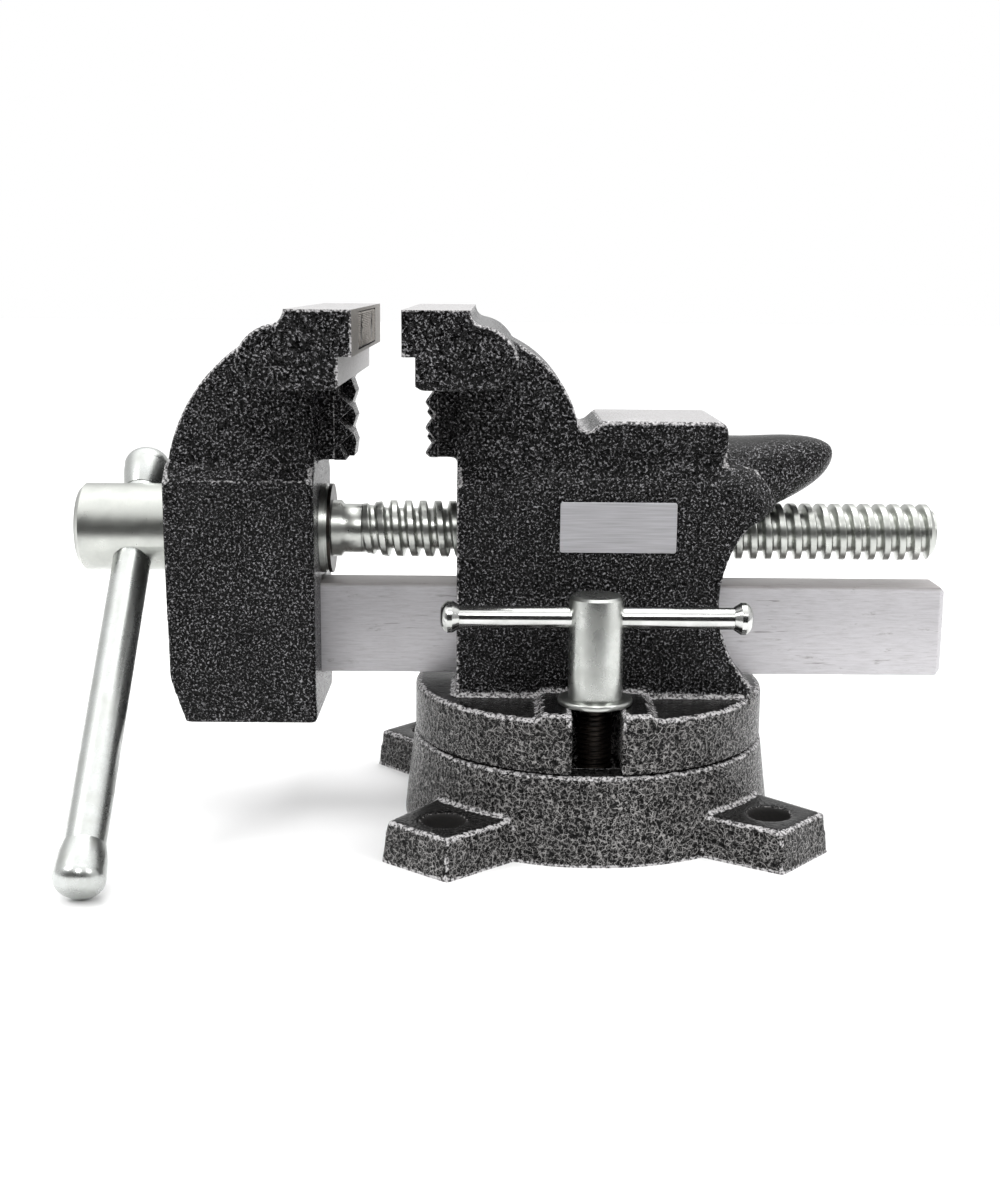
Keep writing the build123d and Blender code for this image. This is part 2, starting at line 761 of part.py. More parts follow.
# ---------------------------------------------------------------- handle
# The bar hangs through the boss with its upper knob just short of it.
upper_knob_start = -(boss_diameter / 2 + handle_drop)
lower_knob_start = upper_knob_start + handle_length
handle_profile_plane = Plane(
    origin=(handle_x, 0, screw_z), x_dir=handle_axis_dir, z_dir=(1, 0, 0)
)
handle_axis = Axis((handle_x, 0, screw_z), handle_axis_dir)
peg_diameter = handle_diameter - 4
peg_length = handle_knob_length * 0.7
with BuildPart() as handle_bar:
    with BuildSketch(handle_plane.offset(upper_knob_start)):
        Circle(handle_diameter / 2)
    extrude(amount=handle_length)
    with BuildSketch(handle_plane.offset(upper_knob_start - peg_length)):
        Circle(peg_diameter / 2)
    extrude(amount=handle_length + 2 * peg_length)
handle_bar.part.label = "handle_bar"
export_step(handle_bar.part, "parts/handle_bar.step")

for label, root, outward in (
    ("handle_knob_upper", upper_knob_start, -1),
    ("handle_knob_lower", lower_knob_start, 1),
):
    near = root + outward * seat_fit
    far = root + outward * handle_knob_length
    widest = root + outward * handle_knob_length * 0.62
    knob_radius = handle_knob_diameter / 2
    with BuildPart() as knob:
        with BuildSketch(handle_profile_plane):
            with BuildLine():
                Line((near, 0), (near, handle_diameter / 2 + 0.2))
                ThreePointArc(
                    (near, handle_diameter / 2 + 0.2),
                    ((near + widest) / 2, knob_radius - 0.35),
                    (widest, knob_radius),
                )
                ThreePointArc(
                    (widest, knob_radius),
                    ((widest + far) / 2 + outward * 1.4, knob_radius * 0.82),
                    (far, knob_radius * 0.42),
                )
                Line((far, knob_radius * 0.42), (far, 0))
                Line((far, 0), (near, 0))
            make_face()
        revolve(axis=handle_axis)
        with BuildSketch(handle_plane.offset(root)):
            Circle(peg_diameter / 2 + seat_fit)
        extrude(amount=outward * (peg_length + seat_fit), mode=Mode.SUBTRACT)
    knob.part.label = label
    export_step(knob.part, "parts/" + label + ".step")

# ---------------------------------------------------------------- lock bolt
stud_bottom = ledge_z - gap - tee_head_height
stud_top = lock_bar_z - lock_bar_diameter / 2 - 3.0
with BuildPart() as lock_stud:
    with BuildSketch(Plane.XY.offset(stud_bottom)):
        with Locations((0, -lock_radius)):
            RectangleRounded(tee_head_side, tee_head_side, 1.5)
    extrude(amount=tee_head_height)
    with BuildSketch(Plane.XY.offset(stud_bottom)):
        with Locations((0, -lock_radius)):
            Circle(lock_stud_diameter / 2)
    extrude(amount=stud_top - stud_bottom)
lock_stud.part.label = "lock_stud"
export_step(lock_stud.part, "parts/lock_stud.step")

with BuildPart() as lock_washer:
    with BuildSketch(Plane.XY.offset(pad_top)):
        with Locations((0, -lock_radius)):
            Circle(lock_washer_diameter / 2)
            Circle(lock_stud_diameter / 2 + gap, mode=Mode.SUBTRACT)
    extrude(amount=lock_washer_thickness)
    chamfer(lock_washer.edges().filter_by(GeomType.CIRCLE).group_by(SortBy.RADIUS)[-1], 0.4)
lock_washer.part.label = "lock_washer"
export_step(lock_washer.part, "parts/lock_washer.step")

with BuildPart() as lock_head:
    with BuildSketch(Plane.XY.offset(lock_base_z + running_fit)):
        with Locations((0, -lock_radius)):
            Circle(lock_head_diameter / 2)
    extrude(amount=lock_head_height)
    chamfer(lock_head.faces().sort_by(Axis.Z)[-1].edges(), lock_head_bevel)
    with BuildSketch(Plane.XY.offset(lock_base_z)):
        with Locations((0, -lock_radius)):
            Circle(lock_stud_diameter / 2 + running_fit)
    extrude(amount=stud_top + gap - lock_base_z, mode=Mode.SUBTRACT)
    add(
        x_rod(
            lock_bar_diameter + 2 * running_fit,
            -lock_head_diameter,
            lock_head_diameter,
            -lock_radius,
            lock_bar_z,
        ),
        mode=Mode.SUBTRACT,
    )
lock_head.part.label = "lock_head"
export_step(lock_head.part, "parts/lock_head.step")

shoulder_half = lock_bar_length / 2 - lock_knob_length
lock_peg_diameter = lock_bar_diameter - 2
lock_bar_plane = Plane(origin=(0, -lock_radius, lock_bar_z), x_dir=(1, 0, 0), z_dir=(0, -1, 0))
with BuildPart() as lock_bar:
    add(x_rod(lock_bar_diameter, -shoulder_half, shoulder_half, -lock_radius, lock_bar_z))
    add(
        x_rod(
            lock_peg_diameter,
            -shoulder_half - lock_knob_length / 2,
            shoulder_half + lock_knob_length / 2,
            -lock_radius,
            lock_bar_z,
        )
    )
lock_bar.part.label = "lock_bar"
export_step(lock_bar.part, "parts/lock_bar.step")

for label, outward in (("lock_knob_left", -1), ("lock_knob_right", 1)):
    near = outward * (shoulder_half + seat_fit)
    flare = outward * (shoulder_half + lock_knob_length * 0.36)
    far = outward * lock_bar_length / 2
    knob_radius = lock_knob_diameter / 2
    with BuildPart() as knob:
        with BuildSketch(lock_bar_plane):
            with BuildLine():
                Polyline(
                    (far, knob_radius * 0.4),
                    (far, 0),
                    (near, 0),
                    (near, lock_bar_diameter / 2 + 0.2),
                    (flare, knob_radius),
                    (flare + outward * lock_knob_length * 0.25, knob_radius),
                )
                ThreePointArc(
                    (flare + outward * lock_knob_length * 0.25, knob_radius),
                    (far - outward * lock_knob_length * 0.12, knob_radius * 0.76),
                    (far, knob_radius * 0.4),
                )
            make_face()
        revolve(axis=Axis((0, -lock_radius, lock_bar_z), (1, 0, 0)))
        peg_end = outward * (shoulder_half + lock_knob_length / 2 + seat_fit)
        add(
            x_rod(
                lock_peg_diameter + 2 * seat_fit,
                min(outward * shoulder_half, peg_end),
                max(outward * shoulder_half, peg_end),
                -lock_radius,
                lock_bar_z,
            ),
            mode=Mode.SUBTRACT,
        )
    knob.part.label = label
    export_step(knob.part, "parts/" + label + ".step")

# ---------------------------------------------------------------- pivot
# The pivot bolt screws up into the disc, and its head and washer turn in the base's well.
pivot_washer_bottom = pivot_well_depth - running_fit - pivot_washer_thickness
with BuildPart() as pivot_washer:
    with BuildSketch(Plane.XY.offset(pivot_washer_bottom)):
        Circle(pivot_washer_diameter / 2)
        Circle(pivot_diameter / 2 + seat_fit, mode=Mode.SUBTRACT)
    extrude(amount=pivot_washer_thickness)
pivot_washer.part.label = "pivot_washer"
export_step(pivot_washer.part, "parts/pivot_washer.step")

with BuildPart() as pivot_bolt:
    with BuildSketch(Plane.XY.offset(pivot_washer_bottom - pivot_head_height)):
        RegularPolygon(pivot_head_width / 2, 6, major_radius=False)
    extrude(amount=pivot_head_height)
    with BuildSketch(Plane.XY.offset(pivot_washer_bottom)):
        Circle(pivot_diameter / 2)
    extrude(amount=disc_top - pivot_cap - pivot_washer_bottom)
pivot_bolt.part.label = "pivot_bolt"
export_step(pivot_bolt.part, "parts/pivot_bolt.step")
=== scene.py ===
import math

import bmesh
import bpy
import numpy as np
from mathutils import Matrix, Vector


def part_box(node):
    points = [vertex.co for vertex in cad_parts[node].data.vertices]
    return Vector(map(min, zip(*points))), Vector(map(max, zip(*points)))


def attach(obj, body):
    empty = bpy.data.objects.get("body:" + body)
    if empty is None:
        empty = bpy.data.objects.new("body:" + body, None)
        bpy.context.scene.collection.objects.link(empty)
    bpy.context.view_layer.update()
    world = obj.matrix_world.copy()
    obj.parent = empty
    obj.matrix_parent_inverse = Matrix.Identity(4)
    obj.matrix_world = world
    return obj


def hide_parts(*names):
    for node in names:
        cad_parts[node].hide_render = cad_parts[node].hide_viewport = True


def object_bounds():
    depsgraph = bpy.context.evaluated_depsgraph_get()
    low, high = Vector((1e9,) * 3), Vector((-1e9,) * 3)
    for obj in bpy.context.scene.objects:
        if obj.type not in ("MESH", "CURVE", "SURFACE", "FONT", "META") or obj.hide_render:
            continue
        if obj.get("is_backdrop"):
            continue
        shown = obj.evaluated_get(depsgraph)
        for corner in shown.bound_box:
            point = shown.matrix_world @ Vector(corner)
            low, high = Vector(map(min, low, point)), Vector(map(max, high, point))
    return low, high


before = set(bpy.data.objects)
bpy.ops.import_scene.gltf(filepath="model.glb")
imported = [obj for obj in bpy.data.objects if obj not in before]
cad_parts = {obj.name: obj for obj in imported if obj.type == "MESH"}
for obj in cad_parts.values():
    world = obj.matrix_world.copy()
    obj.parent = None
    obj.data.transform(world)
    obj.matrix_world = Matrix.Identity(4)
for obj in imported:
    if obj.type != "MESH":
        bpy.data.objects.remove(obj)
cad_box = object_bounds()

# ---------------------------------------------------------------- Camera
# On the near side, a little above the jaws' height and about 3 cm to the right of the gap
# between them, looking slightly down at the vise.
camera_place = Vector((-0.03117, -0.51806, 0.17418))
camera_pitch = 0.198
camera_yaw = -0.0035
camera_roll = 0.0081
ahead = Vector((
    -math.sin(camera_yaw) * math.cos(camera_pitch),
    math.cos(camera_yaw) * math.cos(camera_pitch),
    -math.sin(camera_pitch),
))
level_right = ahead.cross(Vector((0, 0, 1))).normalized()
level_up = level_right.cross(ahead)
right = level_right * math.cos(camera_roll) + level_up * math.sin(camera_roll)
up = right.cross(ahead)
camera = bpy.data.objects.new("camera", bpy.data.cameras.new("camera"))
camera.data.sensor_width = 36.0
camera.data.lens = 48.02
camera.data.clip_start = 0.01
camera.matrix_world = Matrix((
    (right.x, up.x, -ahead.x, camera_place.x),
    (right.y, up.y, -ahead.y, camera_place.y),
    (right.z, up.z, -ahead.z, camera_place.z),
    (0, 0, 0, 1),
))
bpy.context.scene.collection.objects.link(camera)
bpy.context.scene.camera = camera

# ---------------------------------------------------------------- Swivel base
# A drafted drum with four bolt-down lugs, sand cast in grey iron. It is sprayed with black
# hammer-finish enamel straight over the rough skin, so its corners are soft all round.
# Its enamel shows more pale flake than the body's: painted light of the white floor's bounce.
def tone(hex_colour):
    """Linear colour of an sRGB hex value."""
    shares = [int(hex_colour[place:place + 2], 16) / 255 for place in (1, 3, 5)]
    linear = [s / 12.92 if s <= 0.04045 else ((s + 0.055) / 1.055) ** 2.4 for s in shares]
    return (*linear, 1.0)


def put(tree, kind, settings=None, **sockets):
    """Adds one node with its settings. A socket goes by its name, or by its number as i0 or
    i1, and gets a plain value, another node's output, or another node for its first output."""
    node = tree.nodes.new(kind)
    for name, value in (settings or {}).items():
        if name == "stops":
            for place, (position, colour) in enumerate(value):
                new = place > 1 and node.color_ramp.elements.new(position)
                stop = new or node.color_ramp.elements[place]
                stop.position = position
                stop.color = tone(colour)
        else:
            setattr(node, name, value)
    for name, value in sockets.items():
        key = int(name[1:]) if name[0] == "i" and name[1:].isdigit() else name.replace("_", " ")
        if isinstance(value, bpy.types.Node):
            value = value.outputs[0]
        if isinstance(value, bpy.types.NodeSocket):
            tree.links.new(value, node.inputs[key])
        else:
            node.inputs[key].default_value = value
    return node


def new_material(name):
    """An empty node material and its tree."""
    material = bpy.data.materials.new(name)
    material.use_nodes = True
    material.node_tree.nodes.clear()
    return material, material.node_tree


def hammered_enamel(name, cell, ridge_colour, sparse, deep):
    """Black hammer-finish enamel, sprayed. The drying paint draws back into small pits with
    pale metallic flake gathered on the ridges between them; gloss black in the pits, paler
    broken lines around them. Thin bright lines along sharp edges, strongest on upward-facing
    ones, are painted highlight of the light from above, and partly paint pulled thin there;
    level faces keep little flake, which is painted shade of their dark reflection. cell is the
    width of a pit; the higher sparse is, the less of the ridges carries flake; deep is how
    black the widest pits get."""
    material, tree = new_material(name)
    place = put(tree, "ShaderNodeTexCoord").outputs["Object"]
    # ridges wander by about a third of a pit
    sway = put(tree, "ShaderNodeTexNoise", Vector=place, Scale=1 / (1.3 * cell), Detail=2.0)
    sway_centred = put(tree, "ShaderNodeVectorMath", {"operation": "MULTIPLY_ADD"},
                       i0=sway.outputs["Color"], i1=(cell, cell, cell),
                       i2=(-0.5 * cell, -0.5 * cell, -0.5 * cell))
    swayed = put(tree, "ShaderNodeVectorMath", {"operation": "ADD"}, i0=place, i1=sway_centred)
    pits = put(tree, "ShaderNodeTexVoronoi", {"feature": "DISTANCE_TO_EDGE"},
               Vector=swayed, Scale=1 / cell, Randomness=1.0).outputs["Distance"]
    ridge = put(tree, "ShaderNodeMapRange", {"interpolation_type": "SMOOTHSTEP"},
                Value=pits, From_Min=0.01, From_Max=0.1, To_Min=1.0, To_Max=0.0)
    # a second set of pits, half the size, leaves short hooks off the main ridges
    small = put(tree, "ShaderNodeTexVoronoi", {"feature": "DISTANCE_TO_EDGE"},
                Vector=swayed, Scale=2.1 / cell, Randomness=1.0).outputs["Distance"]
    hook = put(tree, "ShaderNodeMapRange", {"interpolation_type": "SMOOTHSTEP"},
               Value=small, From_Min=0.01, From_Max=0.14,
               To_Min=1.1 - 0.6 * deep, To_Max=0.0)
    lines = put(tree, "ShaderNodeMath", {"operation": "MAXIMUM"}, i0=ridge, i1=hook)
    # flake gathers unevenly along a ridge, in strokes half a pit long
    clump = put(tree, "ShaderNodeTexNoise", Vector=place, Scale=1 / (0.55 * cell), Detail=3.0,
                Roughness=0.65).outputs["Fac"]
    stroke = put(tree, "ShaderNodeMapRange", {"interpolation_type": "SMOOTHSTEP"},
                 Value=clump, From_Min=sparse - 0.06, From_Max=sparse + 0.06)
    drawn = put(tree, "ShaderNodeMath", {"operation": "MULTIPLY"}, i0=lines, i1=stroke)
    # here and there a pit is deep and wide, and stays black right across
    wide = put(tree, "ShaderNodeTexVoronoi", Vector=swayed, Scale=0.62 / cell,
               Randomness=1.0).outputs["Distance"]
    hole = put(tree, "ShaderNodeMapRange", {"interpolation_type": "SMOOTHSTEP"}, Value=wide,
               From_Min=0.16, From_Max=0.34, To_Min=deep, To_Max=0.0)
    spared = put(tree, "ShaderNodeMath", {"operation": "SUBTRACT"}, i0=1.0, i1=hole)
    open_flake = put(tree, "ShaderNodeMath", {"operation": "MULTIPLY"}, i0=drawn, i1=spared)
    # on level faces the enamel flows out flat, and its flake is thinned to almost plain black:
    # painted shade of the dark reflection on upward faces
    level = put(tree, "ShaderNodeAttribute", {"attribute_name": "level"}).outputs["Fac"]
    standing = put(tree, "ShaderNodeMapRange", Value=level, To_Min=1.0, To_Max=0.15)
    flake = put(tree, "ShaderNodeMath", {"operation": "MULTIPLY"}, i0=open_flake, i1=standing)
    # broad patches, 20 mm or so, where the coat is thicker and the flake deeper in it
    patch = put(tree, "ShaderNodeTexNoise", Vector=place, Scale=50.0, Detail=2.0).outputs["Fac"]
    thick = put(tree, "ShaderNodeMapRange", Value=patch, From_Min=0.35, From_Max=0.65,
                To_Min=0.75, To_Max=1.0)
    flake_shown = put(tree, "ShaderNodeMath", {"operation": "MULTIPLY"}, i0=flake, i1=thick)
    painted = put(tree, "ShaderNodeMix", {"data_type": "RGBA"}, Factor=flake_shown,
                  A=tone("#030303"), B=tone(ridge_colour))
    # painted highlight: a thin bright line along sharp outside edges and upward-facing creases,
    # broken up every millimetre or two, and partly paint pulled thin at the edge
    edge = put(tree, "ShaderNodeAttribute", {"attribute_name": "edge"}).outputs["Fac"]
    waver = put(tree, "ShaderNodeTexNoise", Vector=place, Scale=700.0, Detail=2.0).outputs["Fac"]
    edge_highlight_wavered = put(tree, "ShaderNodeMath", {"operation": "MULTIPLY_ADD"},
                       i0=waver, i1=1.0, i2=edge)
    edge_highlight_line = put(tree, "ShaderNodeMapRange", {"interpolation_type": "SMOOTHSTEP"},
                    Value=edge_highlight_wavered, From_Min=1.15, From_Max=1.35, To_Max=1.0)
    crumbs = put(tree, "ShaderNodeMapRange", Value=clump, From_Min=0.44, From_Max=0.56, To_Min=0.1)
    edge_highlight_crumbs = put(tree, "ShaderNodeMath", {"operation": "MULTIPLY"}, i0=edge_highlight_line, i1=crumbs)
    coloured = put(tree, "ShaderNodeMix", {"data_type": "RGBA"}, Factor=edge_highlight_crumbs,
                   A=painted.outputs[2], B=tone("#c4c2c3"))
    dome = put(tree, "ShaderNodeMapRange", {"interpolation_type": "SMOOTHSTEP"},
               Value=pits, From_Min=0.0, From_Max=0.42, To_Min=1.0, To_Max=0.0)
    rough_dome = put(tree, "ShaderNodeMath", {"operation": "MULTIPLY_ADD"},
                     i0=clump, i1=0.55, i2=dome)
    pitted = put(tree, "ShaderNodeMath", {"operation": "SUBTRACT"}, i0=rough_dome, i1=hole)
    height = put(tree, "ShaderNodeMath", {"operation": "MULTIPLY"}, i0=pitted, i1=standing)
    bump = put(tree, "ShaderNodeBump", Strength=1.0, Distance=0.2 * cell, Height=height)
    gloss = put(tree, "ShaderNodeMapRange", Value=flake, To_Min=0.2, To_Max=0.34)
    surface = put(tree, "ShaderNodeBsdfPrincipled", IOR=1.5, Specular_IOR_Level=0.12,
                  Roughness=gloss, Base_Color=coloured.outputs[2], Normal=bump)
    put(tree, "ShaderNodeOutputMaterial", Surface=surface)
    return material


def hole_shade_casting(name):
    """Painted shade in the bolt holes: matt brown-black, sandy cast iron."""
    material, tree = new_material(name)
    place = put(tree, "ShaderNodeTexCoord").outputs["Object"]
    sand = put(tree, "ShaderNodeTexNoise", Vector=place, Scale=1500.0, Detail=4.0).outputs["Fac"]
    shade = put(tree, "ShaderNodeValToRGB", {"stops": (
        (0.3, "#060505"), (0.75, "#1d1a18"))}, Fac=sand)
    bump = put(tree, "ShaderNodeBump", Strength=0.5, Distance=0.0003, Height=sand)
    rough = put(tree, "ShaderNodeMapRange", Value=sand, To_Min=0.7, To_Max=0.95)
    surface = put(tree, "ShaderNodeBsdfPrincipled", Roughness=rough, Base_Color=shade, Normal=bump)
    put(tree, "ShaderNodeOutputMaterial", Surface=surface)
    return material


def link_piece(name, mesh):
    """A new object at the origin for a mesh whose place is in its points."""
    piece = bpy.data.objects.new(name, mesh)
    bpy.context.scene.collection.objects.link(piece)
    return piece


def block(low, high):
    """A plain box between two corners."""
    shape = bmesh.new()
    bmesh.ops.create_cube(shape, size=1.0)
    middle = (Vector(low) + Vector(high)) / 2
    size = Vector(high) - Vector(low)
    bmesh.ops.transform(shape, matrix=Matrix.Translation(middle) @ Matrix.Diagonal((*size, 1)),
                        verts=shape.verts)
    return shape


def baked(piece):
    """The piece's mesh with its modifiers worked into it."""
    seen = piece.evaluated_get(bpy.context.evaluated_depsgraph_get())
    return bpy.data.meshes.new_from_object(seen)


def casting(name, node, grain, rounding, stock, cuts):
    """A sand casting of a CAD node: machining stock goes on, the mould rounds every corner,
    and the cuts then leave flat, sharp machined faces. What stands on the bench gets 2 mm
    of stock below."""
    shape = bmesh.new()
    shape.from_mesh(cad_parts[node].data)
    bmesh.ops.remove_doubles(shape, verts=shape.verts, dist=1e-5)
    for corner in shape.verts:
        if corner.co.z < 0.00005:
            corner.co.z = -0.002
    mesh = bpy.data.meshes.new(name)
    for low, high in stock:
        added = bpy.data.meshes.new("stock")
        block(low, high).to_mesh(added)
        shape.from_mesh(added)
    shape.to_mesh(mesh)
    mesh.materials.clear()
    piece = link_piece(name, mesh)
    skin = piece.modifiers.new("sand", "REMESH")
    skin.mode = "VOXEL"
    skin.voxel_size = grain
    soften = piece.modifiers.new("mould", "SMOOTH")
    soften.factor = 0.5
    soften.iterations = rounding
    cutters = []
    for low, high in cuts:
        tool_mesh = bpy.data.meshes.new("cutter")
        block(low, high).to_mesh(tool_mesh)
        cutters.append(link_piece("cutter", tool_mesh))
        cut = piece.modifiers.new("cut", "BOOLEAN")
        cut.operation = "DIFFERENCE"
        cut.solver = "MANIFOLD"
        cut.object = cutters[-1]
    piece.data = baked(piece)
    piece.modifiers.clear()
    for cutter in cutters:
        bpy.data.objects.remove(cutter)
    triangles = len(piece.data.polygons) * 2
    too_many, enough = 190000, 185000
    if triangles > too_many:
        thin = piece.modifiers.new("thin", "DECIMATE")
        thin.ratio = enough / triangles
        piece.data = baked(piece)
        piece.modifiers.clear()
    piece.data.materials.clear()
    piece.data.shade_smooth()
    piece.data.set_sharp_from_angle(angle=math.radians(50))
    piece.data.update()
    return piece


def mark_edges(piece, masked=()):
    """Stores how sharply the skin bends as "edge", 1 at a radius of 2 mm, and how level it
    lies as "level". "edge" is weighted toward upward-facing skin and drives the enamel's
    painted edge highlight. Within 9 mm of a masked spot there is no edge."""
    mesh = piece.data
    count = len(mesh.vertices)
    places = np.empty(count * 3)
    mesh.vertices.foreach_get("co", places)
    places = places.reshape(-1, 3)
    normals = np.empty(count * 3, np.float32)
    mesh.vertex_normals.foreach_get("vector", normals)
    normals = normals.reshape(-1, 3)
    ends = np.empty(len(mesh.edges) * 2, np.int32)
    mesh.edges.foreach_get("vertices", ends)
    ends = ends.reshape(-1, 2)
    along = places[ends[:, 1]] - places[ends[:, 0]]
    turn = normals[ends[:, 1]] - normals[ends[:, 0]]
    length = np.maximum((along ** 2).sum(1), 1e-9)
    bend = (along * turn).sum(1) / length
    # outward bends anywhere, and the inward ones facing up, whose bright line is painted
    # highlight of the light from above
    facing_up = normals[ends[:, 0], 2] > 0.15
    bend = np.where(bend < 0, -1.1 * bend * facing_up, bend)
    most = np.zeros(count)
    np.maximum.at(most, ends[:, 0], bend)
    np.maximum.at(most, ends[:, 1], bend)
    neighbours = np.bincount(ends.ravel(), minlength=count)
    for _ in range(2):
        spread = (np.bincount(ends[:, 0], most[ends[:, 1]], count)
                  + np.bincount(ends[:, 1], most[ends[:, 0]], count))
        most = 0.5 * most + 0.5 * spread / np.maximum(neighbours, 1)
    # painted highlight: upper edges show more than lower ones, because the light falls from above
    most *= 0.35 + 0.65 * np.clip(normals[:, 2] * 1.6, 0, 1)
    for spot in masked:
        most[np.hypot(*(places[:, :2] - spot).T) < 0.009] = 0
    attribute = mesh.attributes.new("edge", "FLOAT", "POINT")
    attribute.data.foreach_set("value", np.clip(most / 500, 0, 1).astype(np.float32))
    # level faces get little flake in the enamel: painted shade of their dark reflection
    attribute = mesh.attributes.new("level", "FLOAT", "POINT")
    level = np.clip((normals[:, 2] - 0.8) / 0.15, 0, 1)
    attribute.data.foreach_set("value", level.astype(np.float32))


# a paler-flaked copy of the body's enamel for the base and the disc rim: painted light of the
# floor's bounce
floor_lit_enamel = hammered_enamel("hammered_enamel_floor_lit", 0.0017, "#979594", 0.455, 1.0)
bench_side = ((-0.1, -0.1, -0.01), (0.1, 0.1, 0.0))
base = casting("base_casting", "base", 0.00095, 4, [], [bench_side])
bolt_circle = 0.07105
first_bolt = 49.6
hole_shade_reach = 0.0069
bolt_spots = [(bolt_circle * math.cos(angle), bolt_circle * math.sin(angle))
              for angle in (math.radians(first_bolt + 90 * turn) for turn in range(4))]
mark_edges(base, bolt_spots)
base.data.materials.append(floor_lit_enamel)
base.data.materials.append(hole_shade_casting("hole_shade_casting"))
# the walls of the bolt holes get the painted shade
for face in base.data.polygons:
    from_bolt = min(math.dist(face.center.xy, spot) for spot in bolt_spots)
    face.material_index = int(from_bolt < hole_shade_reach)
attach(base, "base")
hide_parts("base")

# ---------------------------------------------------------------- Pivot bolt
# The bolt and washer under the base that hold the swivel disc down. Zinc-plated steel,
# fitted from below before the vise goes on the bench.
def bright_zinc(name, axis, colour, dull):
    """Bright zinc plate on turned steel: a warm, slightly greenish white metal with fine
    tool lines, cloudy dull patches and a few dark handling marks. The lines follow each
    other closely along every axis marked 1."""
    material, tree = new_material(name)
    place = put(tree, "ShaderNodeTexCoord").outputs["Object"]
    # a line every 0.25 mm, about as fine as still shows
    squeeze = tuple(4000.0 if a else 60.0 for a in axis)
    stretched = put(tree, "ShaderNodeMapping", Vector=place, Scale=squeeze)
    lines = put(tree, "ShaderNodeTexNoise", Vector=stretched, Scale=1.0, Detail=3.0,
                Roughness=0.6).outputs["Fac"]
    clouds = put(tree, "ShaderNodeTexNoise", Vector=place, Scale=170.0, Detail=5.0,
                 Roughness=0.62).outputs["Fac"]
    marks = put(tree, "ShaderNodeTexNoise", Vector=place, Scale=420.0, Detail=4.0,
                Roughness=0.7).outputs["Fac"]
    mark = put(tree, "ShaderNodeMapRange", {"interpolation_type": "SMOOTHSTEP"},
               Value=marks, From_Min=0.66, From_Max=0.8, To_Max=0.4)
    plate = put(tree, "ShaderNodeValToRGB", {"stops": (
        (0.25, "#aeb0ac"), (0.75, colour))}, Fac=clouds)
    marked = put(tree, "ShaderNodeMix", {"data_type": "RGBA"}, Factor=mark, A=plate,
                 B=tone("#6d6e6b")).outputs[2]
    rough = put(tree, "ShaderNodeMapRange", Value=clouds, From_Min=0.3, From_Max=0.7,
                To_Min=dull + 0.06, To_Max=dull - 0.04)
    height = put(tree, "ShaderNodeMath", {"operation": "MULTIPLY_ADD"},
                 i0=clouds, i1=0.3, i2=lines)
    bump = put(tree, "ShaderNodeBump", Strength=0.25, Distance=0.00006, Height=height)
    surface = put(tree, "ShaderNodeBsdfPrincipled", Metallic=1.0, Roughness=rough,
                  Base_Color=marked, Normal=bump)
    put(tree, "ShaderNodeOutputMaterial", Surface=surface)
    return material


def dress(node, material):
    """Puts a finish on a CAD node whose shape stays."""
    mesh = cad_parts[node].data
    mesh.materials.clear()
    mesh.materials.append(material)


zinc_up = bright_zinc("bright_zinc_upright", (0, 0, 1), "#c3c5c1", 0.33)
dress("pivot_bolt", zinc_up)
dress("pivot_washer", zinc_up)

# ---------------------------------------------------------------- Rear casting
# Swivel disc, body, fixed jaw, anvil and horn in one grey-iron casting, sprayed like the
# base. The jaw head, its lip and the anvil top are milled bare afterwards.
def milled_iron(name, colour, darker, tooth):
    """Grey iron, face milled and left bare: a pale open grain with dark graphite pores and
    faint cutter lines, silvery at a low angle."""
    material, tree = new_material(name)
    place = put(tree, "ShaderNodeTexCoord").outputs["Object"]
    grain = put(tree, "ShaderNodeTexNoise", Vector=place, Scale=1 / tooth, Detail=5.0,
                Roughness=0.75).outputs["Fac"]
    shade = put(tree, "ShaderNodeValToRGB", {"stops": ((0.32, darker), (0.62, colour))}, Fac=grain)
    pores = put(tree, "ShaderNodeTexVoronoi", Vector=place, Scale=1 / 0.0011).outputs["Distance"]
    pore = put(tree, "ShaderNodeMapRange", {"interpolation_type": "SMOOTHSTEP"},
               Value=pores, From_Min=0.1, From_Max=0.2, To_Min=0.45, To_Max=0.0)
    pored = put(tree, "ShaderNodeMix", {"data_type": "RGBA"}, Factor=pore, A=shade,
                B=tone("#4c4a48")).outputs[2]
    stretched = put(tree, "ShaderNodeMapping", Vector=place, Scale=(3500.0, 90.0, 3500.0))
    cutter = put(tree, "ShaderNodeTexNoise", Vector=stretched, Scale=1.0, Detail=2.0)
    height = put(tree, "ShaderNodeMath", {"operation": "MULTIPLY_ADD"},
                 i0=cutter.outputs["Fac"], i1=0.6, i2=grain)
    bump = put(tree, "ShaderNodeBump", Strength=0.4, Distance=0.00015, Height=height)
    rough = put(tree, "ShaderNodeMapRange", Value=grain, To_Min=0.35, To_Max=0.55)
    surface = put(tree, "ShaderNodeBsdfPrincipled", Metallic=0.75, Roughness=rough,
                  Base_Color=pored, Normal=bump)
    put(tree, "ShaderNodeOutputMaterial", Surface=surface)
    return material


jaw_top = 0.1653
jaw_lip_depth = 0.0039


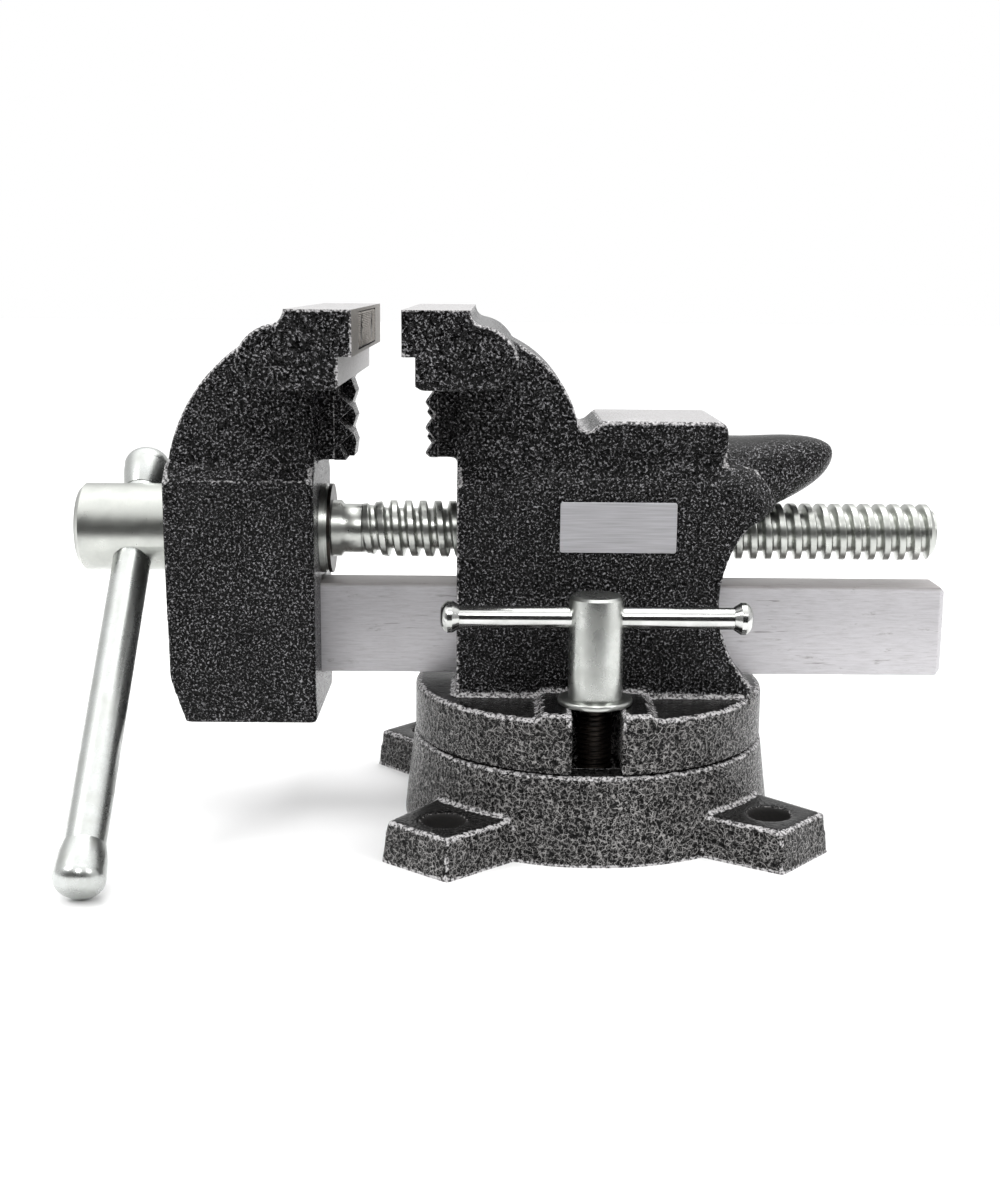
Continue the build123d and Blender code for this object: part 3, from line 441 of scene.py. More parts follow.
def head_machining(face_x, away):
    """Stock and cuts for a jaw head: its top, its gripping face, the lip under that, and the
    recess for the jaw plate. away points from the face into the head."""
    half, lip, bottom, top_length = 0.0575, 0.1520, 0.1424, 0.0195
    top_end = face_x + away * top_length
    first, last = sorted((face_x - away * 0.003, top_end))
    stock = [((first, -half, bottom + 0.0015), (last, half, jaw_top + 0.003))]
    front = face_x - away * 0.010
    cuts = []
    for end, low, high in (
        (top_end + away * 0.004, jaw_top, jaw_top + 0.01),
        (face_x, bottom - 0.001, jaw_top + 0.01),
        (face_x + away * jaw_lip_depth, bottom - 0.001, lip),
    ):
        start, stop = sorted((front, end))
        cuts.append(((start, -0.07, low), (stop, 0.07, high)))
    start, stop = sorted((face_x - away * 0.002, face_x + away * 0.006))
    middle = (jaw_top + lip) / 2
    recess_half, recess_rise = 0.03335, 0.00565
    cuts.append(((start, -recess_half, middle - recess_rise),
                 (stop, recess_half, middle + recess_rise)))
    return stock, cuts


def finish_faces(piece, planes, drum_top):
    """Material of each face: 3, the enamel copy with painted floor bounce light, on the drum
    below drum_top, a plane's own, or else 0. A plane is its material, axis and place, and the
    lowest and highest corner of its part."""
    mesh = piece.data
    count = len(mesh.polygons)
    middles = np.empty(count * 3, np.float32)
    mesh.polygons.foreach_get("center", middles)
    middles = middles.reshape(-1, 3)
    normals = np.empty(count * 3, np.float32)
    mesh.polygon_normals.foreach_get("vector", normals)
    normals = normals.reshape(-1, 3)
    choice = np.where(middles[:, 2] < drum_top, 3, 0)
    for number, axis, place, low, high in planes:
        flat = (np.abs(middles[:, axis] - place) < 5e-5) & (np.abs(normals[:, axis]) > 0.98)
        inside = ((middles > np.array(low)) & (middles < np.array(high))).all(1)
        choice[flat & inside] = number
    mesh.polygons.foreach_set("material_index", choice.astype(np.int32))
    mesh.update()


def kept_part(name, node, cuts, finish, arris_width=0.0):
    """The part of a CAD node behind every cut, closed there. A cut is a point of its plane
    and the way out; sharp edges get a bevel of arris_width, whose faces are marked "edge"
    for the enamel's painted edge highlight."""
    shape = bmesh.new()
    shape.from_mesh(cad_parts[node].data)
    bmesh.ops.remove_doubles(shape, verts=shape.verts, dist=1e-6)
    for place, direction in cuts:
        every = shape.verts[:] + shape.edges[:] + shape.faces[:]
        cut = bmesh.ops.bisect_plane(shape, geom=every, plane_co=place, plane_no=direction,
                                     clear_outer=True)
        rim = [item for item in cut["geom_cut"] if isinstance(item, bmesh.types.BMEdge)]
        bmesh.ops.holes_fill(shape, edges=rim)
    if arris_width:
        edge_highlight_share = shape.faces.layers.float.new("edge")
        bmesh.ops.dissolve_limit(shape, angle_limit=math.radians(1), verts=shape.verts,
                                 edges=shape.edges)
        sharp = [edge for edge in shape.edges if edge.calc_face_angle(0) > math.radians(28)]
        bevelled = bmesh.ops.bevel(shape, geom=sharp, offset=arris_width, segments=2, profile=0.5,
                               affect="EDGES", clamp_overlap=True)
        # the bevel faces carry the enamel's painted edge highlight
        for face in bevelled["faces"]:
            face[edge_highlight_share] = 1.0
    mesh = bpy.data.meshes.new(name)
    shape.to_mesh(mesh)
    mesh.materials.clear()
    mesh.materials.append(finish)
    mesh.shade_smooth()
    mesh.set_sharp_from_angle(angle=math.radians(25))
    return link_piece(name, mesh)


def pipe_teeth(name, node, start_x, away, rider):
    """The pipe-jaw teeth beyond start_x, kept crisp where the sand would round them off.
    Gives back the box that the casting leaves out for them."""
    teeth_low, teeth_high = 0.112, 0.1423
    teeth = kept_part(name, node, (
        ((start_x, 0, 0), (away, 0, 0)),
        ((0, 0, teeth_high), (0, 0, 1)),
        ((0, 0, teeth_low), (0, 0, -1)),
    ), body_enamel, 0.0005)
    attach(teeth, rider)
    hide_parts(node)
    # the casting runs on 1 mm into the crisp part, so there is no gap between them
    first, last = sorted((start_x - away * 0.001, start_x - away * 0.02))
    return (first, -0.0135, 0.1125), (last, 0.0135, teeth_high)


rear_face = -0.0582
anvil_top = 0.1314
disc_top = 0.0455
rear_stock, rear_cuts = head_machining(rear_face, 1)
anvil_stock = ((0.003, -0.0215, 0.1285), (0.0365, 0.0215, 0.1345))
anvil_facing = ((-0.006, -0.03, anvil_top), (0.05, 0.03, anvil_top + 0.01))
rear_stock.append(anvil_stock)
rear_cuts.append(anvil_facing)
body_enamel = hammered_enamel("hammered_enamel_body", 0.0014, "#a6a5a8", 0.56, 0.8)
rear_teeth_x = -0.0490
rear_cuts.append(pipe_teeth("rear_pipe_teeth", "fixed_jaw_body", rear_teeth_x, 1, "vise_body"))
bare_iron = milled_iron("milled_iron", "#cfcecf", "#7d7a78", 0.0005)
gripping_iron = milled_iron("milled_gripping_iron", "#9a958f", "#55514d", 0.0006)
rear = casting("rear_casting", "fixed_jaw_body", 0.001, 4, rear_stock, rear_cuts)
mark_edges(rear)
for material in (body_enamel, bare_iron, gripping_iron, floor_lit_enamel):
    rear.data.materials.append(material)
# the disc rim below disc_top takes material 3, the enamel copy with painted floor bounce light
finish_faces(rear, (
    (1, 2, jaw_top, (-0.06, -0.06, 0.16), (-0.03, 0.06, 0.17)),
    (2, 0, rear_face, (-0.07, -0.06, 0.14), (-0.05, 0.06, 0.17)),
    (1, 0, rear_face + jaw_lip_depth, (-0.07, -0.06, 0.14), (-0.05, 0.06, 0.17)),
    (1, 2, anvil_top, (-0.01, -0.03, 0.13), (0.05, 0.03, 0.135)),
), disc_top)
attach(rear, "vise_body")
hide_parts("fixed_jaw_body")

# ---------------------------------------------------------------- Main nut
# The iron sleeve pressed into the body that the screw runs in, and the socket set screw, in
# from the body's far side, that stops it turning. Bare cast iron and black oxide steel.
def black_oxide(name, colour):
    """Black oxide on steel: an oily blue-black skin, brown where it has rubbed thin."""
    material, tree = new_material(name)
    place = put(tree, "ShaderNodeTexCoord").outputs["Object"]
    blotch = put(tree, "ShaderNodeTexNoise", Vector=place, Scale=350.0, Detail=5.0,
                 Roughness=0.7).outputs["Fac"]
    skin = put(tree, "ShaderNodeValToRGB", {"stops": (
        (0.35, "#121110"), (0.7, colour))}, Fac=blotch)
    bump = put(tree, "ShaderNodeBump", Strength=0.3, Distance=0.0001, Height=blotch)
    rough = put(tree, "ShaderNodeMapRange", Value=blotch, To_Min=0.25, To_Max=0.5)
    surface = put(tree, "ShaderNodeBsdfPrincipled", Metallic=0.8, Roughness=rough,
                  Base_Color=skin, Normal=bump)
    put(tree, "ShaderNodeOutputMaterial", Surface=surface)
    return material


oiled_black = black_oxide("black_oxide", "#3a332d")
dress("main_nut", milled_iron("bare_nut_iron", "#7f7c78", "#4b4947", 0.0009))
dress("nut_set_screw", oiled_black)

# ---------------------------------------------------------------- Front casting
# The sliding jaw: a deep block, an arch over it and a wide jaw head, cast and sprayed
# like the body. Head top, gripping face and lip are milled bare.
front_face = -0.0724
front_stock, front_cuts = head_machining(front_face, -1)
front_teeth_x = -0.0821
front_cuts.append(pipe_teeth("front_pipe_teeth", "front_jaw", front_teeth_x, -1, "sliding_jaw"))
front = casting("front_casting", "front_jaw", 0.00095, 4, front_stock, front_cuts)
mark_edges(front)
for material in (body_enamel, bare_iron, gripping_iron):
    front.data.materials.append(material)
finish_faces(front, (
    (1, 2, jaw_top, (-0.095, -0.06, 0.16), (-0.07, 0.06, 0.17)),
    (2, 0, front_face, (-0.08, -0.06, 0.14), (-0.07, 0.06, 0.17)),
    (1, 0, front_face - jaw_lip_depth, (-0.08, -0.06, 0.14), (-0.07, 0.06, 0.17)),
), -1.0)
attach(front, "sliding_jaw")
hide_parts("front_jaw")

# ---------------------------------------------------------------- Slide bar
# A flat bar, pinned into the front casting, that runs through the body. Hot-rolled steel
# with a thin coat of silver paint, scratched along its length by the body.
def silvered_bar(name, bar_top):
    """Silver paint over rolled steel: pale warm grey, fine scratches along the bar, dark
    rubbed smudges, and a brown line of grime where the paint thins at the top edge."""
    material, tree = new_material(name)
    place = put(tree, "ShaderNodeTexCoord").outputs["Object"]
    # brush marks 5 to 15 mm long and about 0.4 mm apart
    stretched = put(tree, "ShaderNodeMapping", Vector=place, Scale=(130.0, 1600.0, 1600.0))
    scratches = put(tree, "ShaderNodeTexNoise", Vector=stretched, Scale=1.0, Detail=6.0,
                    Roughness=0.75).outputs["Fac"]
    paint = put(tree, "ShaderNodeValToRGB", {"stops": (
        (0.3, "#aeacae"), (0.5, "#c3c1c4"), (0.72, "#cfced1"))}, Fac=scratches)
    # rubbed smudges, stretched along the bar
    drawn = put(tree, "ShaderNodeMapping", Vector=place, Scale=(110.0, 300.0, 420.0))
    smudge = put(tree, "ShaderNodeTexNoise", Vector=drawn, Scale=1.0, Detail=6.0,
                 Roughness=0.72).outputs["Fac"]
    rubbed = put(tree, "ShaderNodeMapRange", {"interpolation_type": "SMOOTHSTEP"},
                 Value=smudge, From_Min=0.6, From_Max=0.7, To_Max=0.45)
    smudged = put(tree, "ShaderNodeMix", {"data_type": "RGBA"}, Factor=rubbed, A=paint,
                  B=tone("#6b6763")).outputs[2]
    # a few thin dark scratches, 10 to 25 mm long, that wander a little off level
    tilted = put(tree, "ShaderNodeMapping", Vector=place, Scale=(40.0, 500.0, 900.0),
                 Rotation=(0.0, 0.035, 0.0))
    long_noise = put(tree, "ShaderNodeTexNoise", Vector=tilted, Scale=1.0, Detail=3.0,
                     Roughness=0.8).outputs["Fac"]
    long_line = put(tree, "ShaderNodeMapRange", {"interpolation_type": "SMOOTHSTEP"},
                    Value=long_noise, From_Min=0.645, From_Max=0.7, To_Max=0.6)
    marked = put(tree, "ShaderNodeMix", {"data_type": "RGBA"}, Factor=long_line, A=smudged,
                 B=tone("#56524f")).outputs[2]
    level = put(tree, "ShaderNodeSeparateXYZ", Vector=place).outputs["Z"]
    grimy = put(tree, "ShaderNodeMapRange", {"interpolation_type": "SMOOTHSTEP"}, Value=level,
                From_Min=bar_top - 0.0012, From_Max=bar_top - 0.0003, To_Max=0.5)
    soiled = put(tree, "ShaderNodeMix", {"data_type": "RGBA"}, Factor=grimy, A=marked,
                 B=tone("#6f665e")).outputs[2]
    height = put(tree, "ShaderNodeMath", {"operation": "MULTIPLY_ADD"},
                 i0=smudge, i1=0.5, i2=scratches)
    bump = put(tree, "ShaderNodeBump", Strength=0.35, Distance=0.00015, Height=height)
    rough = put(tree, "ShaderNodeMapRange", Value=scratches, To_Min=0.36, To_Max=0.58)
    surface = put(tree, "ShaderNodeBsdfPrincipled", Metallic=0.35, Roughness=rough,
                  Base_Color=soiled, Normal=bump)
    put(tree, "ShaderNodeOutputMaterial", Surface=surface)
    return material


def arris(name, node, width, finish):
    """A copy of a CAD node with its sharp edges broken by a small bevel."""
    shape = bmesh.new()
    shape.from_mesh(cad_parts[node].data)
    bmesh.ops.remove_doubles(shape, verts=shape.verts, dist=1e-6)
    bmesh.ops.dissolve_limit(shape, angle_limit=math.radians(1), verts=shape.verts,
                             edges=shape.edges)
    sharp = [edge for edge in shape.edges if edge.calc_face_angle(0) > math.radians(28)]
    bmesh.ops.bevel(shape, geom=sharp, offset=width, segments=2, profile=0.5, affect="EDGES",
                    clamp_overlap=True)
    mesh = bpy.data.meshes.new(name)
    shape.to_mesh(mesh)
    mesh.materials.clear()
    mesh.materials.append(finish)
    mesh.shade_smooth()
    mesh.set_sharp_from_angle(angle=math.radians(28))
    piece = link_piece(name, mesh)
    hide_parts(node)
    return piece


silver_paint = silvered_bar("silvered_bar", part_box("slide_bar")[1][2])
bar = arris("silvered_slide_bar", "slide_bar", 0.0005, silver_paint)
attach(bar, "sliding_jaw")
dress("slide_bar_pin", oiled_black)

# ---------------------------------------------------------------- Jaw plates
# Hardened steel plates let into both gripping faces, cut with small diamond teeth, each held
# by two slotted screws sunk just below its face. Heat treatment leaves them dull brown-grey.
def hardened_steel(name):
    """Hardened tool steel, ground then blued by the heat: brown-grey, in cloudy patches."""
    material, tree = new_material(name)
    place = put(tree, "ShaderNodeTexCoord").outputs["Object"]
    cloud = put(tree, "ShaderNodeTexNoise", Vector=place, Scale=500.0, Detail=5.0,
                Roughness=0.7).outputs["Fac"]
    shade = put(tree, "ShaderNodeValToRGB", {"stops": (
        (0.3, "#77736e"), (0.7, "#a9a5a0"))}, Fac=cloud)
    bump = put(tree, "ShaderNodeBump", Strength=0.3, Distance=0.0001, Height=cloud)
    rough = put(tree, "ShaderNodeMapRange", Value=cloud, To_Min=0.3, To_Max=0.5)
    surface = put(tree, "ShaderNodeBsdfPrincipled", Metallic=0.85, Roughness=rough,
                  Base_Color=shade, Normal=bump)
    put(tree, "ShaderNodeOutputMaterial", Surface=surface)
    return material


def named_input(tree, name, kind, value):
    """A named input of a Geometry Nodes tree."""
    socket = tree.interface.new_socket(name, in_out="INPUT", socket_type=kind)
    if value is not None:
        socket.default_value = value
    return socket


tooth_field = bpy.data.node_groups.new("diamond_teeth", "GeometryNodeTree")
tooth_inputs = {
    "Width": named_input(tooth_field, "Width", "NodeSocketFloat", 0.066),
    "Height": named_input(tooth_field, "Height", "NodeSocketFloat", 0.0106),
    "Pitch": named_input(tooth_field, "Pitch", "NodeSocketFloat", 0.0011),
    "Depth": named_input(tooth_field, "Depth", "NodeSocketFloat", 0.00035),
    "Screw Place": named_input(tooth_field, "Screw Place", "NodeSocketFloat", 0.02),
    "Screw Reach": named_input(tooth_field, "Screw Reach", "NodeSocketFloat", 0.0052),
    "Finish": named_input(tooth_field, "Finish", "NodeSocketMaterial", None),
}
tooth_field.interface.new_socket("Geometry", in_out="OUTPUT", socket_type="NodeSocketGeometry")
given = put(tooth_field, "NodeGroupInput").outputs
across = put(tooth_field, "ShaderNodeMath", {"operation": "DIVIDE"}, i0=given["Width"],
             i1=given["Pitch"])
row_step = put(tooth_field, "ShaderNodeMath", {"operation": "MULTIPLY"}, i0=given["Pitch"], i1=0.5)
upward = put(tooth_field, "ShaderNodeMath", {"operation": "DIVIDE"}, i0=given["Height"],
             i1=row_step)
inner_width = put(tooth_field, "ShaderNodeMath", {"operation": "SUBTRACT"}, i0=given["Width"],
                  i1=given["Pitch"])
inner_height = put(tooth_field, "ShaderNodeMath", {"operation": "SUBTRACT"},
                   i0=given["Height"], i1=given["Pitch"])
spots = put(tooth_field, "GeometryNodeMeshGrid", Size_X=inner_width, Size_Y=inner_height,
            Vertices_X=across, Vertices_Y=upward).outputs["Mesh"]
spot = put(tooth_field, "GeometryNodeInputPosition")
spot_parts = put(tooth_field, "ShaderNodeSeparateXYZ", Vector=spot).outputs
# every other row moves half a pitch sideways, so the diamonds fit together
row = put(tooth_field, "ShaderNodeMath", {"operation": "DIVIDE"}, i0=spot_parts["Y"], i1=row_step)
row_up = put(tooth_field, "ShaderNodeMath", {"operation": "ROUND"}, i0=row)
odd = put(tooth_field, "ShaderNodeMath", {"operation": "PINGPONG"}, i0=row_up, i1=1.0)
shift = put(tooth_field, "ShaderNodeMath", {"operation": "MULTIPLY"}, i0=odd, i1=row_step)
sideways = put(tooth_field, "ShaderNodeCombineXYZ", X=shift)
laid_out = put(tooth_field, "GeometryNodeSetPosition", Geometry=spots, Offset=sideways)
# none where the two screw heads are
half_across = put(tooth_field, "ShaderNodeMath", {"operation": "ABSOLUTE"}, i0=spot_parts["X"])
from_screw = put(tooth_field, "ShaderNodeMath", {"operation": "SUBTRACT"}, i0=half_across,
                 i1=given["Screw Place"])
screw_line = put(tooth_field, "ShaderNodeCombineXYZ", X=from_screw, Y=spot_parts["Y"])
clearance = put(tooth_field, "ShaderNodeVectorMath", {"operation": "LENGTH"},
                i0=screw_line).outputs["Value"]
clear = put(tooth_field, "ShaderNodeMath", {"operation": "GREATER_THAN"}, i0=clearance,
            i1=given["Screw Reach"])
tooth = put(tooth_field, "GeometryNodeMeshCone", {"fill_type": "NGON"}, Vertices=4,
            Radius_Top=0.00006, Radius_Bottom=row_step, Depth=given["Depth"]).outputs["Mesh"]
teeth = put(tooth_field, "GeometryNodeInstanceOnPoints", Points=laid_out, Selection=clear,
            Instance=tooth)
plain = put(tooth_field, "GeometryNodeRealizeInstances", Geometry=teeth)
finished = put(tooth_field, "GeometryNodeSetMaterial", Geometry=plain, Material=given["Finish"])
put(tooth_field, "NodeGroupOutput", Geometry=finished)

plate_steel = hardened_steel("hardened_steel")
plate_middle = 0.15865
tooth_depth = 0.00035
for side, face_x, away in (("front", front_face, -1), ("rear", rear_face, 1)):
    field = link_piece("teeth", bpy.data.meshes.new("teeth"))
    grow = field.modifiers.new("teeth", "NODES")
    grow.node_group = tooth_field
    grow[tooth_inputs["Finish"].identifier] = plate_steel
    grow[tooth_inputs["Depth"].identifier] = tooth_depth
    teeth_mesh = baked(field)
    bpy.data.objects.remove(field)
    # grid X to Y, grid Y to Z, and the teeth point out of the jaw face
    outwards = Matrix((
        (0, 0, -away, face_x + away * tooth_depth),
        (-away, 0, 0, 0),
        (0, 1, 0, plate_middle),
        (0, 0, 0, 1),
    ))
    teeth_mesh.transform(outwards)
    # the plate stays as it is but for the tooth depth off its face
    shape = bmesh.new()
    shape.from_mesh(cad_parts[side + "_jaw_plate"].data)
    bmesh.ops.remove_doubles(shape, verts=shape.verts, dist=1e-6)
    for corner in shape.verts:
        if abs(corner.co.x - face_x) < 0.00002:
            corner.co.x += away * tooth_depth
    shape.from_mesh(teeth_mesh)
    plate_mesh = bpy.data.meshes.new(side + "_plate")
    shape.to_mesh(plate_mesh)
    plate_mesh.materials.clear()
    plate_mesh.materials.append(plate_steel)
    plate = link_piece(side + "_toothed_plate", plate_mesh)
    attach(plate, "sliding_jaw" if away < 0 else "vise_body")
    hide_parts(side + "_jaw_plate")
    dress(side + "_plate_screws", oiled_black)

# ---------------------------------------------------------------- Main screw
# Turned from bright zinc-plated steel: a boss with the handle hole, a collar behind the
# front casting, and a coarse trapezoid thread rolled right to the tail.
thread_tree = bpy.data.node_groups.new("rolled_thread", "GeometryNodeTree")
thread_inputs = {
    "Length": named_input(thread_tree, "Length", "NodeSocketFloat", 0.184),
    "Pitch": named_input(thread_tree, "Pitch", "NodeSocketFloat", 0.0048),
    "Root": named_input(thread_tree, "Root", "NodeSocketFloat", 0.0067),
    "Crest": named_input(thread_tree, "Crest", "NodeSocketFloat", 0.0092),
    "Crest Share": named_input(thread_tree, "Crest Share", "NodeSocketFloat", 0.4),
    "Flank Share": named_input(thread_tree, "Flank Share", "NodeSocketFloat", 0.34),
    "Neck": named_input(thread_tree, "Neck", "NodeSocketFloat", 0.008),
    "Run In": named_input(thread_tree, "Run In", "NodeSocketFloat", 0.009),
    "Phase": named_input(thread_tree, "Phase", "NodeSocketFloat", 0.0),
    "Steps": named_input(thread_tree, "Steps", "NodeSocketInt", 900),
    "Around": named_input(thread_tree, "Around", "NodeSocketInt", 81),
    "Finish": named_input(thread_tree, "Finish", "NodeSocketMaterial", None),
}
thread_tree.interface.new_socket("Geometry", in_out="OUTPUT", socket_type="NodeSocketGeometry")
given = put(thread_tree, "NodeGroupInput").outputs
sheet = put(thread_tree, "GeometryNodeMeshGrid", Size_X=1.0, Size_Y=1.0,
            Vertices_X=given["Steps"], Vertices_Y=given["Around"]).outputs["Mesh"]
spot = put(thread_tree, "GeometryNodeInputPosition")
spot_parts = put(thread_tree, "ShaderNodeSeparateXYZ", Vector=spot).outputs
share_along = put(thread_tree, "ShaderNodeMath", {"operation": "ADD"}, i0=spot_parts["X"], i1=0.5)
along = put(thread_tree, "ShaderNodeMath", {"operation": "MULTIPLY"}, i0=share_along,
            i1=given["Length"])
turns = put(thread_tree, "ShaderNodeMath", {"operation": "DIVIDE"}, i0=along, i1=given["Pitch"])
started = put(thread_tree, "ShaderNodeMath", {"operation": "ADD"}, i0=turns, i1=given["Phase"])
wound = put(thread_tree, "ShaderNodeMath", {"operation": "SUBTRACT"}, i0=started,
            i1=spot_parts["Y"])
phase = put(thread_tree, "ShaderNodeMath", {"operation": "PINGPONG"}, i0=wound, i1=0.5)
# 0 in the middle of the crest, 1 in the middle of the root
from_crest = put(thread_tree, "ShaderNodeMath", {"operation": "MULTIPLY"}, i0=phase, i1=2.0)
flank_end = put(thread_tree, "ShaderNodeMath", {"operation": "ADD"}, i0=given["Crest Share"],
                i1=given["Flank Share"])
tooth_height = put(thread_tree, "ShaderNodeMapRange", {"interpolation_type": "SMOOTHSTEP"},
                   Value=from_crest, From_Min=given["Crest Share"], From_Max=flank_end,
                   To_Min=1.0, To_Max=0.0)
run_in = put(thread_tree, "ShaderNodeMapRange", Value=along, From_Min=0.0,
             From_Max=given["Run In"])
rolled = put(thread_tree, "ShaderNodeMapRange", Value=tooth_height,
             To_Min=given["Root"], To_Max=given["Crest"])
# rolling starts shallow, so the thread grows out of the neck
radius = put(thread_tree, "ShaderNodeMapRange", Value=run_in, To_Min=given["Neck"], To_Max=rolled)
# the tail is faced off with a chamfer as deep as the thread
left = put(thread_tree, "ShaderNodeMath", {"operation": "SUBTRACT"}, i0=given["Length"], i1=along)
tail_limit = put(thread_tree, "ShaderNodeMath", {"operation": "ADD"}, i0=left, i1=given["Root"])
limited = put(thread_tree, "ShaderNodeMath", {"operation": "MINIMUM"}, i0=radius, i1=tail_limit)
# the first and last rows close on the axis
inside_start = put(thread_tree, "ShaderNodeMath", {"operation": "GREATER_THAN"},
                   i0=share_along, i1=0.00001)
inside_end = put(thread_tree, "ShaderNodeMath", {"operation": "LESS_THAN"},
                 i0=share_along, i1=0.99999)
inside = put(thread_tree, "ShaderNodeMath", {"operation": "MULTIPLY"}, i0=inside_start,
             i1=inside_end)
closed = put(thread_tree, "ShaderNodeMath", {"operation": "MULTIPLY"}, i0=limited, i1=inside)
angle = put(thread_tree, "ShaderNodeMath", {"operation": "MULTIPLY"}, i0=spot_parts["Y"],
            i1=2 * math.pi)
cosine = put(thread_tree, "ShaderNodeMath", {"operation": "COSINE"}, i0=angle)
sine = put(thread_tree, "ShaderNodeMath", {"operation": "SINE"}, i0=angle)
sideways = put(thread_tree, "ShaderNodeMath", {"operation": "MULTIPLY"}, i0=closed, i1=cosine)
upwards = put(thread_tree, "ShaderNodeMath", {"operation": "MULTIPLY"}, i0=closed, i1=sine)
put_there = put(thread_tree, "ShaderNodeCombineXYZ", X=along, Y=sideways, Z=upwards)
wrapped = put(thread_tree, "GeometryNodeSetPosition", Geometry=sheet, Position=put_there)
joined = put(thread_tree, "GeometryNodeMergeByDistance", Geometry=wrapped, Distance=0.000004)
plain = put(thread_tree, "GeometryNodeRealizeInstances", Geometry=joined)
finished = put(thread_tree, "GeometryNodeSetMaterial", Geometry=plain, Material=given["Finish"])
put(thread_tree, "NodeGroupOutput", Geometry=finished)


def rolled_thread(name, finish, place, sizes):
    """A closed threaded rod that starts at the origin and runs along +X before it is placed."""
    rod = link_piece(name, bpy.data.meshes.new(name))
    roll = rod.modifiers.new("thread", "NODES")
    roll.node_group = thread_tree
    roll[thread_inputs["Finish"].identifier] = finish
    for key, value in sizes.items():
        roll[thread_inputs[key].identifier] = value
    mesh = baked(rod)
    rod.modifiers.clear()
    shape = bmesh.new()
    shape.from_mesh(mesh)
    bmesh.ops.transform(shape, matrix=place, verts=shape.verts)
    bmesh.ops.recalc_face_normals(shape, faces=shape.faces)
    shape.to_mesh(mesh)
    rod.data = mesh
    # round all over but for the two faced-off ends
    along_axis = place.to_3x3() @ Vector((1, 0, 0))
    for face in mesh.polygons:
        face.use_smooth = abs(face.normal.dot(along_axis)) < 0.99
    return rod


screw_z = 0.0939
zinc_along = bright_zinc("bright_zinc_turned", (1, 0, 0), "#c0c2bd", 0.3)
thread_start, thread_end = -0.0745, 0.112
screw_thread = rolled_thread(
    "screw_thread", zinc_along, Matrix.Translation((thread_start, 0, screw_z)),
    {"Length": thread_end - thread_start, "Phase": 0.1},
)
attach(screw_thread, "screw")
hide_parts("main_screw")
screw_boss = kept_part("screw_boss", "main_screw",
                       (((thread_start + 0.0001, 0, 0), (1, 0, 0)),), zinc_along)
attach(screw_boss, "screw")
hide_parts("main_screw")
for node in ("thrust_washer", "spring_washer"):
    dress(node, zinc_along)
dress("keeper_ring", oiled_black)

# ---------------------------------------------------------------- Handle
# A round bar that slides through the boss, with a domed knob pressed on each end.
# Bright zinc like the screw, with fine lines drawn along the bar.
zinc_handle = bright_zinc("bright_zinc_handle", (1, 0, 0), "#c4c7c6", 0.27)
for node in ("handle_bar", "handle_knob_upper", "handle_knob_lower"):
    dress(node, zinc_handle)

# ---------------------------------------------------------------- Lock bolt
# The square-headed stud in the base's tee slot, black from heat treatment, with a washer and
# a tall plated head. Its thin tommy bar has a flared knob at each end.
lock_place = Vector((0.0, -0.0405, 0.0))
stud_start = 0.0165
stud_turn = Matrix.Translation((lock_place.x, lock_place.y, stud_start)) @ Matrix.Rotation(
    math.radians(-90), 4, "Y")
stud_thread = rolled_thread("lock_stud_thread", oiled_black, stud_turn, {
    "Length": 0.0335, "Pitch": 0.0016, "Root": 0.00455, "Crest": 0.00545,
    "Crest Share": 0.12, "Flank Share": 0.62, "Neck": 0.0054, "Run In": 0.0006,
    "Steps": 330, "Around": 61,
})
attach(stud_thread, "vise_body")
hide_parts("lock_stud")
stud_head = kept_part("lock_stud_head", "lock_stud",
                      (((0, 0, stud_start + 0.0005), (0, 0, 1)),), oiled_black)
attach(stud_head, "vise_body")
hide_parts("lock_stud")
zinc_lock = bright_zinc("bright_zinc_lock_head", (1, 1, 0), "#bfc1be", 0.27)
washer = arris("plated_lock_washer", "lock_washer", 0.0003, zinc_up)
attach(washer, "vise_body")
dress("lock_head", zinc_lock)
zinc_tommy = bright_zinc("bright_zinc_tommy_bar", (1, 0, 0), "#d2d2d1", 0.17)
for node in ("lock_bar", "lock_knob_left", "lock_knob_right"):
    dress(node, zinc_tommy)

# ---------------------------------------------------------------- Name plate
# A thin pressed aluminium plate glued to the near side of the body.
# It is left blank.
def rolled_aluminium(name):
    """Mill-finish aluminium sheet: pale, satin, with very fine rolling lines along it."""
    material, tree = new_material(name)
    place = put(tree, "ShaderNodeTexCoord").outputs["Object"]
    stretched = put(tree, "ShaderNodeMapping", Vector=place, Scale=(70.0, 2500.0, 2500.0))
    lines = put(tree, "ShaderNodeTexNoise", Vector=stretched, Scale=1.0, Detail=4.0)
    shade = put(tree, "ShaderNodeValToRGB", {"stops": (
        (0.3, "#a9a8ab"), (0.7, "#c3c2c6"))}, Fac=lines)
    bump = put(tree, "ShaderNodeBump", Strength=0.2, Distance=0.00005, Height=lines)
    rough = put(tree, "ShaderNodeMapRange", Value=lines, To_Min=0.35, To_Max=0.5)
    surface = put(tree, "ShaderNodeBsdfPrincipled", Metallic=0.3, Roughness=rough,
                  Base_Color=shade, Normal=bump)
    put(tree, "ShaderNodeOutputMaterial", Surface=surface)
    return material


label = arris("blank_name_plate", "name_plate", 0.0002, rolled_aluminium("rolled_aluminium"))
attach(label, "vise_body")

